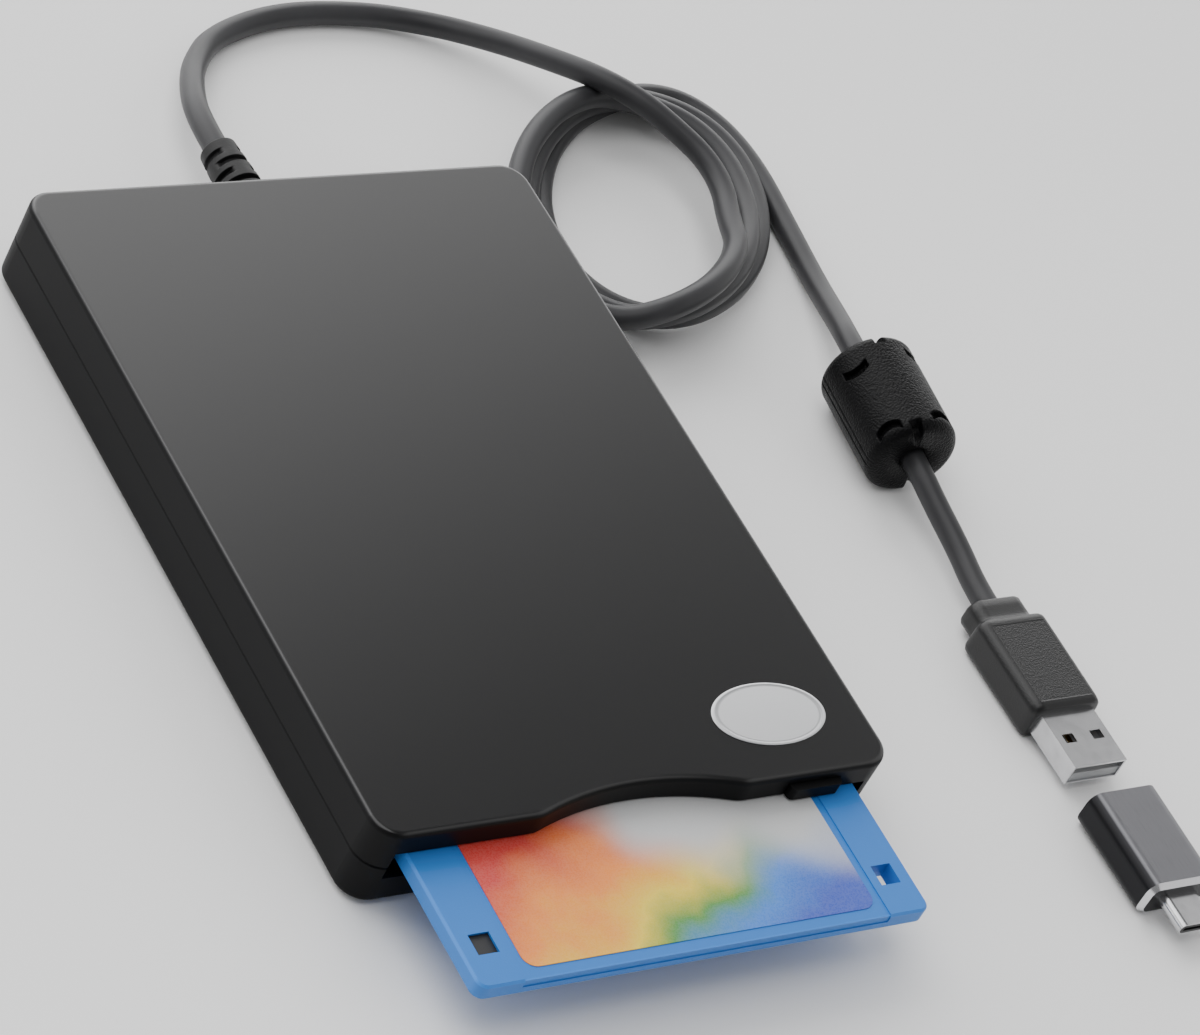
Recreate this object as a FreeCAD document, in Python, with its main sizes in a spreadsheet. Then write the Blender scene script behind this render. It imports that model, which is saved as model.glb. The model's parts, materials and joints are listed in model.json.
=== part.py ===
"""External 3.5 inch floppy disk drive with a disk in its slot and a coiled cord.

Millimetres.  X runs to the right as one faces the disk slot, Y to the rear, Z up.
The origin is the centre of the case's underside; the feet stand 0.7 mm lower.
"""
import FreeCAD, Part
import Sketcher
import math
import os
import re

doc = FreeCAD.newDocument("FloppyDrive")

# Driving sizes, in millimetres.  A name ending in _x, _y or _z is a place.
SIZES = {
    # case
    "side_bay": 6.4, "rear_bay": 47.0, "case_height": 16.6, "parting": 8.5,
    "wall": 1.6, "base_thickness": 1.4, "roof_thickness": 1.4, "corner_radius": 5.0,
    "top_round": 1.0, "bottom_round": 1.2, "rim_chamfer": 0.25,
    "slot_margin": 2.0, "sill_height": 6.05, "slot_top": 12.1,
    "notch_width": 41.0, "notch_depth": 3.5, "notch_blend": 6.0, "notch_wall": 1.6,
    "rib_length": 12.0, "rib_thickness": 0.8, "rib_reach": 1.6, "rib_gap": 0.15,
    "fit_gap": 0.3, "slide_gap": 0.4, "close_gap": 0.05,
    # feet, screws and badge
    "foot_radius": 4.0, "foot_reach": 0.7, "foot_recess": 0.6, "foot_gap": 0.15,
    "foot_inset_x": 11.4, "foot_inset_y": 12.8,
    "boss_inset_x": 7.4, "boss_inset_y": 6.8, "boss_radius": 3.4, "boss_height": 6.0,
    "screw_radius": 1.3, "screw_head_radius": 2.6, "screw_head_height": 1.7,
    "screw_head_recess": 2.0, "screw_length": 12.0, "thread_bite": 0.15,
    "badge_inset_x": 19.2, "badge_inset_y": 13.1, "badge_long": 11.4, "badge_short": 6.55,
    "badge_thickness": 0.2,
    # eject button
    "button_inset": 16.2, "button_width": 10.6, "button_bottom": 12.15, "button_height": 2.4,
    "button_reach": 1.5, "button_length": 6.7, "button_corner": 1.0, "window_gap": 0.2,
    "tongue_width": 8.0, "tongue_bite": 2.0,
    # disk
    "disk_width": 90.0, "disk_length": 94.0, "disk_thickness": 3.3, "disk_bottom": 8.54,
    "disk_setback": 0.6, "disk_out": 27.3, "disk_edge": 0.4, "disk_corner": 2.0,
    "disk_cut_corner": 5.0, "cavity_radius": 43.4, "cavity_height": 1.8,
    "media_radius": 42.9, "media_thickness": 0.1, "media_hole": 10.0,
    "hub_radius": 12.4, "hub_opening": 13.2, "hub_from_rear": 44.5, "hub_sink": 0.15,
    "hub_square": 4.0, "hub_pin_slot_long": 8.0, "hub_pin_slot_wide": 4.0, "hub_pin_x": 4.5,
    "liner_thickness": 0.3, "liner_hole": 14.5, "head_window_width": 11.0,
    "head_window_near": 21.0, "head_window_long": 20.0,
    "square_hole": 4.0, "square_hole_x": 40.2, "square_hole_from_label": 8.1,
    "label_width": 70.0, "label_setback": 2.3, "label_length": 55.0,
    "label_thickness": 0.12, "label_corner": 2.5, "panel_width": 73.0, "panel_depth": 0.2,
    "tab_length": 8.0, "tab_width": 5.0, "tab_height": 2.2, "tab_travel": 4.4,
    "shutter_width": 33.0, "shutter_long": 30.0, "shutter_sheet": 0.25,
    "shutter_recess": 0.35, "shutter_travel": 17.0, "shutter_x": -8.5,
    # chassis, holder and ejector
    "chassis_lift": 0.3, "sheet": 0.8, "thin_sheet": 0.6, "chassis_gap": 0.45,
    "board_gap": 1.6, "chassis_top": 11.7, "chassis_wall_back_at": 16.2,
    "pad_radius": 3.0, "pad_x": 40.0, "pad_front_at": -73.8, "pad_back_inset": 6.0,
    "small_screw_radius": 1.0, "small_head_radius": 1.9, "small_head_height": 0.9,
    "small_screw_length": 2.0,
    "holder_gap": 0.5, "holder_side_gap": 0.35, "holder_flange": 4.0,
    "holder_flange_gap": 0.3, "holder_back_at": 1.7, "holder_opening": 9.0,
    "holder_opening_at": -27.8, "pin_radius": 0.9, "pin_z": 10.2, "pin_front_at": -73.8,
    "pin_back_at": -23.8, "pin_gap": 0.1,
    "ejector_back_at": -13.8, "ejector_opening": 11.0, "ejector_opening_at": -26.8,
    "ejector_bottom": 7.9, "ejector_travel": 4.0, "ramp_rise": 2.0,
    # spindle
    "board_thickness": 1.0, "motor_board_half": 24.0, "motor_board_front_at": -67.8,
    "bearing_radius": 3.5, "bearing_height": 3.4, "shaft_radius": 1.5, "shaft_gap": 0.04,
    "shaft_top": 8.2, "rotor_radius": 19.0, "rotor_bottom": 4.0, "rotor_top": 6.8,
    "rotor_sheet": 0.6, "magnet_thickness": 1.8, "magnet_height": 1.9, "seat_radius": 6.0,
    "seat_height": 0.5, "drive_pin_radius": 0.9, "drive_pin_offset": 10.0,
    "drive_pin_top": 8.0, "stator_bottom": 4.2, "stator_height": 1.2, "stator_hub": 5.5,
    "tooth_count": 9, "tooth_width": 1.6, "tooth_reach": 16.1, "tip_width": 3.6,
    "tip_depth": 1.2, "coil_start": 6.3, "coil_end": 12.1, "coil_width": 3.2,
    "coil_height": 2.3,
    # head carriage and its drive
    "rod_x": 13.0, "rod_z": 5.1, "rod_radius": 1.2, "rod_front_at": -23.8, "rod_back_at": 8.2,
    "rod_gap": 0.05, "screw_rod_radius": 1.0, "tab_half": 1.8, "tab_rise": 1.6,
    "carriage_half": 8.0, "carriage_front_at": -9.0, "carriage_back_at": 19.2,
    "carriage_bottom": 3.8, "carriage_top": 7.2, "lug_front_at": -5.3, "lug_back_at": 2.2,
    "lug_reach": 2.0, "head_half": 4.0, "head_front_at": -7.5, "head_length": 5.0,
    "head_gap": 0.36, "post_front_at": 16.7, "arm_thickness": 1.2, "arm_half": 6.0,
    "stepper_radius": 3.6, "stepper_front_at": 7.5,
    "stepper_length": 10.0,
    # boards
    "main_left": -46.0, "main_right": -18.0, "main_front_at": -17.8, "main_back_gap": 6.0,
    "chip_height": 1.1, "io_half": 28.0, "io_depth": 9.4, "io_back_gap": 2.2,
    "header_half": 4.0, "header_height": 3.0, "header_depth": 3.6,
    # cord
    "cord_radius": 2.3, "relief_x": -2.0, "relief_z": 8.3, "relief_neck": 3.1,
    "relief_notch_gap": 0.1, "relief_flange": 4.4, "relief_flange_depth": 2.0,
    "relief_root": 4.4, "relief_tip": 3.55, "relief_end_y": 85.8, "relief_core": 2.75,
    "relief_slot": 1.3, "relief_pitch": 2.5, "relief_slots": 5,
    "choke_radius": 9.0, "choke_length": 23.4, "choke_y": 10.6, "choke_bore_gap": 0.1,
    "choke_round": 2.2, "choke_slot_wide": 1.8, "choke_slot_long": 5.0,
    "choke_slot_deep": 1.4, "choke_slot_inset": 4.2, "choke_core_radius": 7.0,
    "choke_core_length": 17.0,
    # plug and adapter
    "plug_x": 104.0, "plug_z": 3.4, "plug_back": -32.5, "neck_length": 5.0,
    "neck_width": 12.0, "neck_height": 6.5, "grip_width": 15.6, "grip_height": 8.2,
    "grip_length": 21.0, "grip_corner": 1.6, "plug_shell_width": 12.0,
    "plug_shell_height": 4.5, "plug_shell_length": 12.0, "plug_sheet": 0.35,
    "plug_hole_wide": 2.5, "plug_hole_long": 1.95, "plug_hole_apart": 6.4,
    "plug_hole_from_tip": 6.3, "insulator_height": 1.95, "contact_width": 1.0,
    "contact_pitch": 2.5, "contact_thickness": 0.15, "contact_length": 8.0,
    "adapter_front": -77.5, "adapter_length": 21.0, "adapter_width": 15.2,
    "adapter_height": 7.6, "adapter_round": 2.4, "adapter_chamfer": 0.9, "socket_gap": 0.1,
    "socket_depth": 12.4, "core_lining": 0.6, "tip_wide": 8.34, "tip_high": 2.56,
    "tip_long": 6.65, "tip_sheet": 0.3, "tip_tongue_high": 0.7, "tip_tongue_wide": 6.2,
}

# Places worked out from the sizes.
PLACES = {
    "case_width": "disk_width + 2 * side_bay",
    "case_depth": "disk_setback + disk_length + rear_bay",
    "slot_width": "disk_width + 2 * slot_margin",
    "case_side": "case_width / 2",
    "case_back": "case_depth / 2",
    "inner_side": "case_width / 2 - wall",
    "inner_back": "case_depth / 2 - wall",
    "roof_under": "case_height - roof_thickness",
    "slot_side": "slot_width / 2",
    "notch_half": "notch_width / 2",
    "notch_radius": "(notch_width / 2 * notch_width / 2 + notch_depth * notch_depth) / 2 / notch_depth",
    "notch_inner": "case_depth / 2 - notch_depth - notch_wall",
    "notch_side": "notch_width / 2 + notch_wall + notch_depth / 2",
    "boss_x": "case_width / 2 - boss_inset_x",
    "boss_y": "case_depth / 2 - boss_inset_y",
    "foot_x": "case_width / 2 - foot_inset_x",
    "foot_y": "case_depth / 2 - foot_inset_y",
    "chassis_bottom": "base_thickness + chassis_lift",
    "deck": "base_thickness + chassis_lift + sheet",
    "disk_top": "disk_bottom + disk_thickness",
    "disk_middle": "disk_bottom + disk_thickness / 2",
    "disk_side": "disk_width / 2",
    "disk_front": "-case_depth / 2 + disk_setback - disk_out",
    "disk_rear": "-case_depth / 2 + disk_setback - disk_out + disk_length",
    "hub_y": "-case_depth / 2 + disk_setback - disk_out + disk_length - hub_from_rear",
    "spindle_y": "-case_depth / 2 + disk_setback + disk_length - hub_from_rear",
    "holder_under": "disk_bottom + disk_thickness + holder_gap",
    "holder_top": "disk_bottom + disk_thickness + holder_gap + thin_sheet",
    "holder_inner": "disk_width / 2 + holder_side_gap",
    "holder_outer": "disk_width / 2 + holder_side_gap + thin_sheet",
    "holder_front": "-case_depth / 2 + notch_depth + notch_wall + slide_gap",
    "flange_top": "disk_bottom - holder_flange_gap",
    "ejector_under": "disk_bottom + disk_thickness + holder_gap + thin_sheet + slide_gap - close_gap",
    "ejector_inner": "disk_width / 2 + holder_side_gap + thin_sheet + slide_gap",
    "ejector_front": "-case_depth / 2 + notch_depth + notch_wall + slide_gap + sheet",
    "button_front": "-case_depth / 2 - button_reach",
    "head_top": "disk_bottom + disk_thickness + head_gap",
    "tab_start": "disk_front + square_hole_from_label - square_hole / 2 - slide_gap",
    "floor_z": "-foot_reach",
    "badge_x": "case_side - badge_inset_x",
    "badge_y": "badge_inset_y - case_back",
    "button_x": "case_side - button_inset",
    "chassis_half": "ejector_inner + sheet + chassis_gap + sheet",
    "disk_home": "disk_rear + disk_out",
    "io_back": "inner_back - io_back_gap",
    "io_front": "io_back - io_depth",
    "chassis_back": "io_front - board_gap",
    "pad_back_y": "chassis_back - pad_back_inset",
    "main_back": "pad_back_y - main_back_gap",
    "chassis_wall_back": "disk_home + chassis_wall_back_at",
    "pad_front_y": "disk_home + pad_front_at",
    "holder_back": "disk_home + holder_back_at",
    "holder_opening_y": "disk_home + holder_opening_at",
    "pin_front_y": "disk_home + pin_front_at",
    "pin_back_y": "disk_home + pin_back_at",
    "ejector_back": "disk_home + ejector_back_at",
    "ejector_opening_y": "disk_home + ejector_opening_at",
    "motor_board_front": "disk_home + motor_board_front_at",
    "rod_front": "disk_home + rod_front_at",
    "rod_back": "disk_home + rod_back_at",
    "carriage_front": "disk_home + carriage_front_at",
    "carriage_back": "disk_home + carriage_back_at",
    "lug_front": "disk_home + lug_front_at",
    "lug_back": "disk_home + lug_back_at",
    "head_front": "disk_home + head_front_at",
    "post_front": "disk_home + post_front_at",
    "stepper_front": "disk_home + stepper_front_at",
    "main_front": "disk_home + main_front_at",
}


def make_sheet(name, cells):
    """Fill a spreadsheet with one value or formula per row and give each its alias."""
    sheet = doc.addObject("Spreadsheet::Sheet", name)
    for row, (alias, value) in enumerate(cells.items(), start=1):
        sheet.set(f"A{row}", alias)
        sheet.set(f"B{row}", f"={full(value)}" if isinstance(value, str) else str(value))
        sheet.setAlias(f"B{row}", alias)
    return sheet


def full(text):
    """Write a formula's plain names as references into the two sheets."""
    def reference(match):
        word = match.group(0)
        if word in SIZES:
            return f"Sizes.{word}"
        if word in PLACES:
            return f"Places.{word}"
        return word
    return re.sub(r"[a-z][a-z_]+", reference, str(text))


sizes = make_sheet("Sizes", SIZES)
doc.recompute()
places = make_sheet("Places", PLACES)
doc.recompute()


def get(name):
    """The value of a size or place as a number."""
    sheet = sizes if name in SIZES else places
    return float(getattr(sheet, name))


def bind(item, formulas):
    """Tie an object's properties to the sheets."""
    for prop, text in formulas.items():
        item.setExpression(prop, full(text))
    return item


def less(high, low):
    """Formula of the distance from one place to another."""
    return f"({high}) - ({low})"


def middle(low, high):
    """Formula of the place halfway between two places."""
    return f"(({low}) + ({high})) / 2"


def at(item, x="0", y="0", z="0"):
    """Tie an object's position to the sheets."""
    return bind(item, {"Placement.Base.x": x, "Placement.Base.y": y, "Placement.Base.z": z})


def box(name, x, y, z):
    """A box between two places on each axis, each given as (low, high)."""
    item = doc.addObject("Part::Box", name)
    bind(item, {"Length": less(x[1], x[0]), "Width": less(y[1], y[0]), "Height": less(z[1], z[0])})
    return at(item, x[0], y[0], z[0])


TURNS = {
    "z": FreeCAD.Rotation(),
    "y": FreeCAD.Rotation(FreeCAD.Vector(1, 0, 0), -90),
    "x": FreeCAD.Rotation(FreeCAD.Vector(0, 1, 0), 90),
}


def rod(name, axis, centre, span, radius):
    """A cylinder along an axis; centre gives the other two places in X, Y, Z order."""
    item = doc.addObject("Part::Cylinder", name)
    item.Placement.Rotation = TURNS[axis]
    bind(item, {"Radius": radius, "Height": less(span[1], span[0])})
    spot = {"x": (span[0], centre[0], centre[1]), "y": (centre[0], span[0], centre[1]),
            "z": (centre[0], centre[1], span[0])}[axis]
    return at(item, *spot)


def fuse(name, items):
    """Join objects into one."""
    item = doc.addObject("Part::MultiFuse", name)
    item.Shapes = items
    item.Refine = True
    return item


def cut(name, base, tools):
    """Cut tools out of a base."""
    item = doc.addObject("Part::Cut", name)
    item.Base = base
    item.Tool = tools[0] if len(tools) == 1 else fuse(name + "_tools", tools)
    item.Refine = True
    return item


def group(name, items):
    """Keep equal loose pieces together as one node."""
    item = doc.addObject("Part::Compound", name)
    item.Links = items
    return item


NODES = {}


def node(name, item):
    """Name a finished piece; the name is also its file's."""
    item.Label = name
    NODES[name] = item
    return item



def vector(x, y, z=0.0):
    return FreeCAD.Vector(x, y, z)


class Moulding:
    """A PartDesign body built up from pads, pockets and rounded edges."""

    def __init__(self, name):
        self.name = name
        self.body = doc.addObject("PartDesign::Body", name)
        self.count = 0

    def feature(self, kind):
        """Add a feature with a number of its own."""
        self.count += 1
        return self.body.newObject(kind, f"{self.name}_{kind.split('::')[1]}_{self.count}")

    def sketch(self, x, y, z):
        """An empty sketch on the body's own XY plane, moved to a place."""
        sketch = self.feature("Sketcher::SketchObject")
        plane = [f for f in self.body.Origin.OriginFeatures if f.Role == "XY_Plane"][0]
        sketch.AttachmentSupport = [(plane, "")]
        sketch.MapMode = "FlatFace"
        offset = "AttachmentOffset.Base."
        return bind(sketch, {offset + "x": x, offset + "y": y, offset + "z": z})

    def rectangle(self, x, y, z):
        """A sketched rectangle between two places on X and on Y, at height z."""
        sketch = self.sketch(middle(*x), middle(*y), z)
        corners = [vector(-10, -5), vector(10, -5), vector(10, 5), vector(-10, 5)]
        for i, corner in enumerate(corners):
            sketch.addGeometry(Part.LineSegment(corner, corners[(i + 1) % 4]), False)
        for i in range(4):
            sketch.addConstraint(Sketcher.Constraint("Coincident", i, 2, (i + 1) % 4, 1))
            sketch.addConstraint(Sketcher.Constraint(("Horizontal", "Vertical")[i % 2], i))
        sketch.addConstraint(Sketcher.Constraint("Symmetric", 0, 1, 1, 2, -1, 1))
        wide = sketch.addConstraint(Sketcher.Constraint("DistanceX", 0, 1, 0, 2, 20))
        deep = sketch.addConstraint(Sketcher.Constraint("DistanceY", 1, 1, 1, 2, 10))
        sketch.renameConstraint(wide, "wide")
        sketch.renameConstraint(deep, "deep")
        return bind(sketch, {"Constraints.wide": less(x[1], x[0]),
                             "Constraints.deep": less(y[1], y[0])})

    def circle(self, x, y, z, radius):
        """A sketched circle about a place."""
        sketch = self.sketch(x, y, z)
        sketch.addGeometry(Part.Circle(vector(0, 0), vector(0, 0, 1), 5), False)
        sketch.addConstraint(Sketcher.Constraint("Coincident", 0, 3, -1, 1))
        ring = sketch.addConstraint(Sketcher.Constraint("Radius", 0, 5))
        sketch.renameConstraint(ring, "ring")
        return bind(sketch, {"Constraints.ring": radius})

    def pad(self, sketch, length):
        """Raise a sketch upward."""
        pad = self.feature("PartDesign::Pad")
        pad.Profile = sketch
        bind(pad, {"Length": length})
        return self.done()

    def pocket(self, sketch, length):
        """Sink a sketch downward."""
        pocket = self.feature("PartDesign::Pocket")
        pocket.Profile = sketch
        bind(pocket, {"Length": length})
        return self.done()

    def add_box(self, x, y, z):
        return self.pad(self.rectangle(x, y, z[0]), less(z[1], z[0]))

    def cut_box(self, x, y, z):
        return self.pocket(self.rectangle(x, y, z[1]), less(z[1], z[0]))

    def add_round(self, x, y, z, radius):
        return self.pad(self.circle(x, y, z[0], radius), less(z[1], z[0]))

    def cut_round(self, x, y, z, radius):
        return self.pocket(self.circle(x, y, z[1], radius), less(z[1], z[0]))

    def dress(self, kind, size, wanted):
        """Fillet or chamfer the edges that a test picks."""
        shape = self.body.Tip.Shape
        edges = [f"Edge{i}" for i, edge in enumerate(shape.Edges, start=1) if wanted(edge)]
        if not edges:
            raise RuntimeError(f"{self.name}: no edge to dress")
        tip = self.body.Tip
        feature = self.feature(f"PartDesign::{kind}")
        feature.Base = (tip, edges)
        bind(feature, {"Radius" if kind == "Fillet" else "Size": size})
        return self.done()

    def done(self):
        doc.recompute()
        return self.body


def upright(edge):
    """Whether an edge runs straight up."""
    box_ = edge.BoundBox
    return box_.ZLength > 0.01 and box_.XLength < 0.001 and box_.YLength < 0.001


def level_at(height):
    """A test for edges that lie level at a height."""
    def test(edge):
        return abs(edge.BoundBox.ZMin - height) < 0.001 and abs(edge.BoundBox.ZMax - height) < 0.001
    return test


def at_corner(x, y, near=0.01):
    """A test for upright edges at the four places (+-x, +-y)."""
    def test(edge):
        box_ = edge.BoundBox
        return (upright(edge) and abs(abs(box_.XMin) - x) < near
                and abs(abs(box_.YMin) - y) < near)
    return test


def outer_rim(edge):
    """Whether an edge lies on the outside of the case at the parting."""
    box_ = edge.BoundBox
    wide = max(abs(box_.XMin), abs(box_.XMax)) > get("inner_side") + get("wall") / 2
    deep = max(abs(box_.YMin), abs(box_.YMax)) > get("inner_back") + get("wall") / 2
    return level_at(get("parting"))(edge) and (wide or deep)


SIDE = ("-case_side", "case_side")
DEEP = ("-case_back", "case_back")
FRONT_WALL = ("-case_back - wall", "-inner_back")
BACK_WALL = ("inner_back", "case_back + wall")


def make_lower_shell():
    """Tray of the case, with its sill, foot seats, chassis pads and screw bosses."""
    shell = Moulding("lower_shell")
    shell.add_box(SIDE, DEEP, ("0", "parting"))
    shell.dress("Fillet", "corner_radius", at_corner(get("case_side"), get("case_back")))
    shell.dress("Fillet", "bottom_round", level_at(0))
    inside = (("-inner_side", "inner_side"), ("-inner_back", "inner_back"))
    shell.cut_box(*inside, ("base_thickness", "parting + wall"))
    shell.dress("Fillet", "corner_radius - wall", at_corner(get("inner_side"), get("inner_back")))
    shell.dress("Chamfer", "rim_chamfer", outer_rim)
    shell.cut_box(("-slot_side", "slot_side"), FRONT_WALL, ("sill_height", "parting + wall"))
    notch = "relief_neck + relief_notch_gap"
    shell.cut_box((f"relief_x - {notch.replace('+', '-')}", f"relief_x + {notch}"), BACK_WALL,
                  (f"relief_z - {notch.replace('+', '-')}", "parting + wall"))
    for side in ("", "-"):
        for end in ("pad_front_y", "pad_back_y"):
            spot = (f"{side}pad_x", end)
            shell.add_round(*spot, ("base_thickness / 2", "chassis_bottom"), "pad_radius")
            depth = "small_screw_length - sheet"
            shell.cut_round(*spot, (f"chassis_bottom - {depth.replace('-', '+')}", "chassis_bottom"),
                            "small_screw_radius - thread_bite")
        boss = (f"{side}boss_x", "boss_y")
        shell.add_round(*boss, ("base_thickness / 2", "boss_height"), "boss_radius")
        shell.cut_round(*boss, ("-wall", "boss_height"), "screw_radius + fit_gap")
        shell.cut_round(*boss, ("-wall", "screw_head_recess"), "screw_head_radius + fit_gap")
        for end in ("", "-"):
            shell.cut_round(f"{side}foot_x", f"{end}foot_y", ("-wall", "foot_recess"),
                            "foot_radius + foot_gap")
    return node("lower_shell", shell.body)


def notch_corner(edge):
    """Whether an edge is one of the two where the finger notch leaves the front."""
    box_ = edge.BoundBox
    return (upright(edge) and abs(abs(box_.XMin) - get("notch_half")) < 0.01
            and abs(box_.YMin + get("case_back")) < 0.01)


def make_upper_shell():
    """Lid of the case, with the finger notch, button window, ribs and screw bosses."""
    shell = Moulding("upper_shell")
    shell.add_box(SIDE, DEEP, ("parting", "case_height"))
    shell.dress("Fillet", "corner_radius", at_corner(get("case_side"), get("case_back")))
    shell.cut_round("0", "-case_back - notch_radius + notch_depth",
                    ("slot_top", "case_height + wall"), "notch_radius")
    shell.dress("Fillet", "notch_blend", notch_corner)
    shell.dress("Fillet", "top_round", level_at(get("case_height")))
    hollow = ("parting - wall", "roof_under")
    shell.cut_box(("-inner_side", "inner_side"), ("-notch_inner", "inner_back"), hollow)
    for low, high in (("-inner_side", "-notch_side"), ("notch_side", "inner_side")):
        shell.cut_box((low, high), ("-inner_back", "-notch_inner + wall"), hollow)
    shell.dress("Fillet", "corner_radius - wall", at_corner(get("inner_side"), get("inner_back")))
    shell.dress("Chamfer", "rim_chamfer", outer_rim)
    shell.cut_box(("-slot_side", "slot_side"), ("-case_back - wall", "-notch_inner + wall"),
                  ("parting - wall", "slot_top"))
    half = "button_width / 2 + window_gap"
    shell.cut_box((f"button_x - ({half})", f"button_x + {half}"), FRONT_WALL,
                  ("slot_top - wall", "button_bottom + button_height + window_gap"))
    notch = "relief_neck + relief_notch_gap"
    shell.cut_box((f"relief_x - ({notch})", f"relief_x + {notch}"), BACK_WALL,
                  ("parting - wall", f"relief_z + {notch}"))
    for side in ("", "-"):
        boss = (f"{side}boss_x", "boss_y")
        shell.add_round(*boss, ("boss_height + fit_gap", "roof_under + roof_thickness / 2"),
                        "boss_radius")
        shell.cut_round(*boss, ("0", "screw_head_recess + screw_length"),
                        "screw_radius - thread_bite")
        add_ribs(shell, side)
    return node("upper_shell", shell.body)


def add_ribs(shell, side):
    """Two ribs on one side wall that reach down inside the tray and locate the lid."""
    outer = "inner_side - rib_gap"
    inner = "inner_side - rib_gap - rib_thickness"
    root = "inner_side + wall / 2"
    for start in ("-notch_inner + rib_length", "rib_length * 2"):
        length = (start, f"{start} + rib_length")
        for far, low, high in ((root, "parting", "parting + rib_reach"),
                               (outer, "parting - rib_reach", "parting + rib_reach / 2")):
            across = (inner, far) if side == "" else (f"-({far})", f"-({inner})")
            shell.add_box(across, length, (low, high))


def make_feet():
    """Four round rubber feet in their seats."""
    feet = []
    for side in ("", "-"):
        for end in ("", "-"):
            feet.append(rod("foot", "z", (f"{side}foot_x", f"{end}foot_y"),
                            ("-foot_reach", "foot_recess"), "foot_radius"))
    return node("rubber_feet", group("feet", feet))


def make_badge():
    """Thin oval badge on the top."""
    oval = doc.addObject("Part::Ellipse", "badge_outline")
    bind(oval, {"MajorRadius": "badge_long", "MinorRadius": "badge_short"})
    at(oval, "badge_x", "badge_y", "case_height")
    plate = doc.addObject("Part::Extrusion", "badge_plate")
    plate.Base = oval
    plate.DirMode = "Custom"
    plate.Dir = vector(0, 0, 1)
    plate.Solid = True
    bind(plate, {"LengthFwd": "badge_thickness"})
    return node("oval_badge", plate)


def screw(name, x, y, head, tip, radius, head_radius, head_height):
    """A pan-head screw standing on Z; head is where its head meets its shank."""
    upward = "-" if head_height.startswith("-") else ""
    height = head_height.lstrip("-")
    shank = (head, tip) if upward else (tip, head)
    head_span = (f"{head} - {height}", head) if upward else (head, f"{head} + {height}")
    return fuse(name, [rod(name + "_shank", "z", (x, y), shank, radius),
                       rod(name + "_head", "z", (x, y), head_span, head_radius)])


def make_screws():
    """Two screws that close the case and four that hold the chassis."""
    case = [screw("case_screw", f"{side}boss_x", "boss_y", "screw_head_recess",
                  "screw_head_recess + screw_length - fit_gap", "screw_radius",
                  "screw_head_radius", "-screw_head_height") for side in ("", "-")]
    node("case_screws", group("case_screw_pair", case))
    small = [screw("small_screw", f"{side}pad_x", end, "deck",
                   "deck - small_screw_length + fit_gap", "small_screw_radius",
                   "small_head_radius", "small_head_height")
             for side in ("", "-") for end in ("pad_front_y", "pad_back_y")]
    return node("mechanism_screws", group("small_screw_set", small))


def make_strain_relief():
    """Rubber boot of the cord: a flange inside the wall, a square neck and a slotted cone."""
    axis = ("relief_x", "relief_z")
    neck = (("relief_x - relief_neck", "relief_x + relief_neck"), ("inner_back - close_gap", "case_back + close_gap"),
            ("relief_z - relief_neck", "relief_z + relief_neck"))
    flange = (("relief_x - relief_flange", "relief_x + relief_flange"),
              ("inner_back - close_gap - relief_flange_depth", "inner_back - close_gap"),
              ("relief_z - relief_flange", "relief_z + relief_flange"))
    cone = doc.addObject("Part::Cone", "boot_cone")
    cone.Placement.Rotation = TURNS["y"]
    bind(cone, {"Radius1": "relief_root", "Radius2": "relief_tip",
                "Height": "relief_end_y - case_back - close_gap"})
    at(cone, "relief_x", "case_back + close_gap", "relief_z")
    slots = []
    for i in range(int(get("relief_slots"))):
        start = f"case_back + relief_slot + {i} * relief_pitch"
        along = (start, f"{start} + relief_slot")
        for low, high in (("-2 * relief_root", "-relief_core"), ("relief_core", "2 * relief_root")):
            wide = ("-relief_root", "relief_root")
            across, tall = ((low, high), wide) if i % 2 else (wide, (low, high))
            slots.append(box("boot_slot", (f"relief_x + {across[0]}", f"relief_x + {across[1]}"),
                             along, (f"relief_z + {tall[0]}", f"relief_z + {tall[1]}")))
    boot = fuse("boot", [box("boot_neck", *neck), box("boot_flange", *flange), cone])
    return node("strain_relief", cut("boot_slotted", boot, slots))


def make_button():
    """Eject button: a rounded block whose rear takes the ejector plate's tongue."""
    button = Moulding("eject_button")
    half = "button_width / 2"
    width = (f"button_x - {half}", f"button_x + {half}")
    height = ("button_bottom", "button_bottom + button_height")
    button.add_box(width, ("button_front", "button_front + button_length"), height)
    front = get("button_front")
    button.dress("Fillet", "button_corner", lambda edge: upright(edge)
                 and abs(edge.BoundBox.YMin - front) < 0.01)
    grip = "tongue_width / 2"
    button.cut_box((f"button_x - {grip}", f"button_x + {grip}"),
                   ("button_front + button_length - tongue_bite", "button_front + button_length + wall"),
                   ("ejector_under", "ejector_under + thin_sheet"))
    return node("eject_button", button.body)


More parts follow.
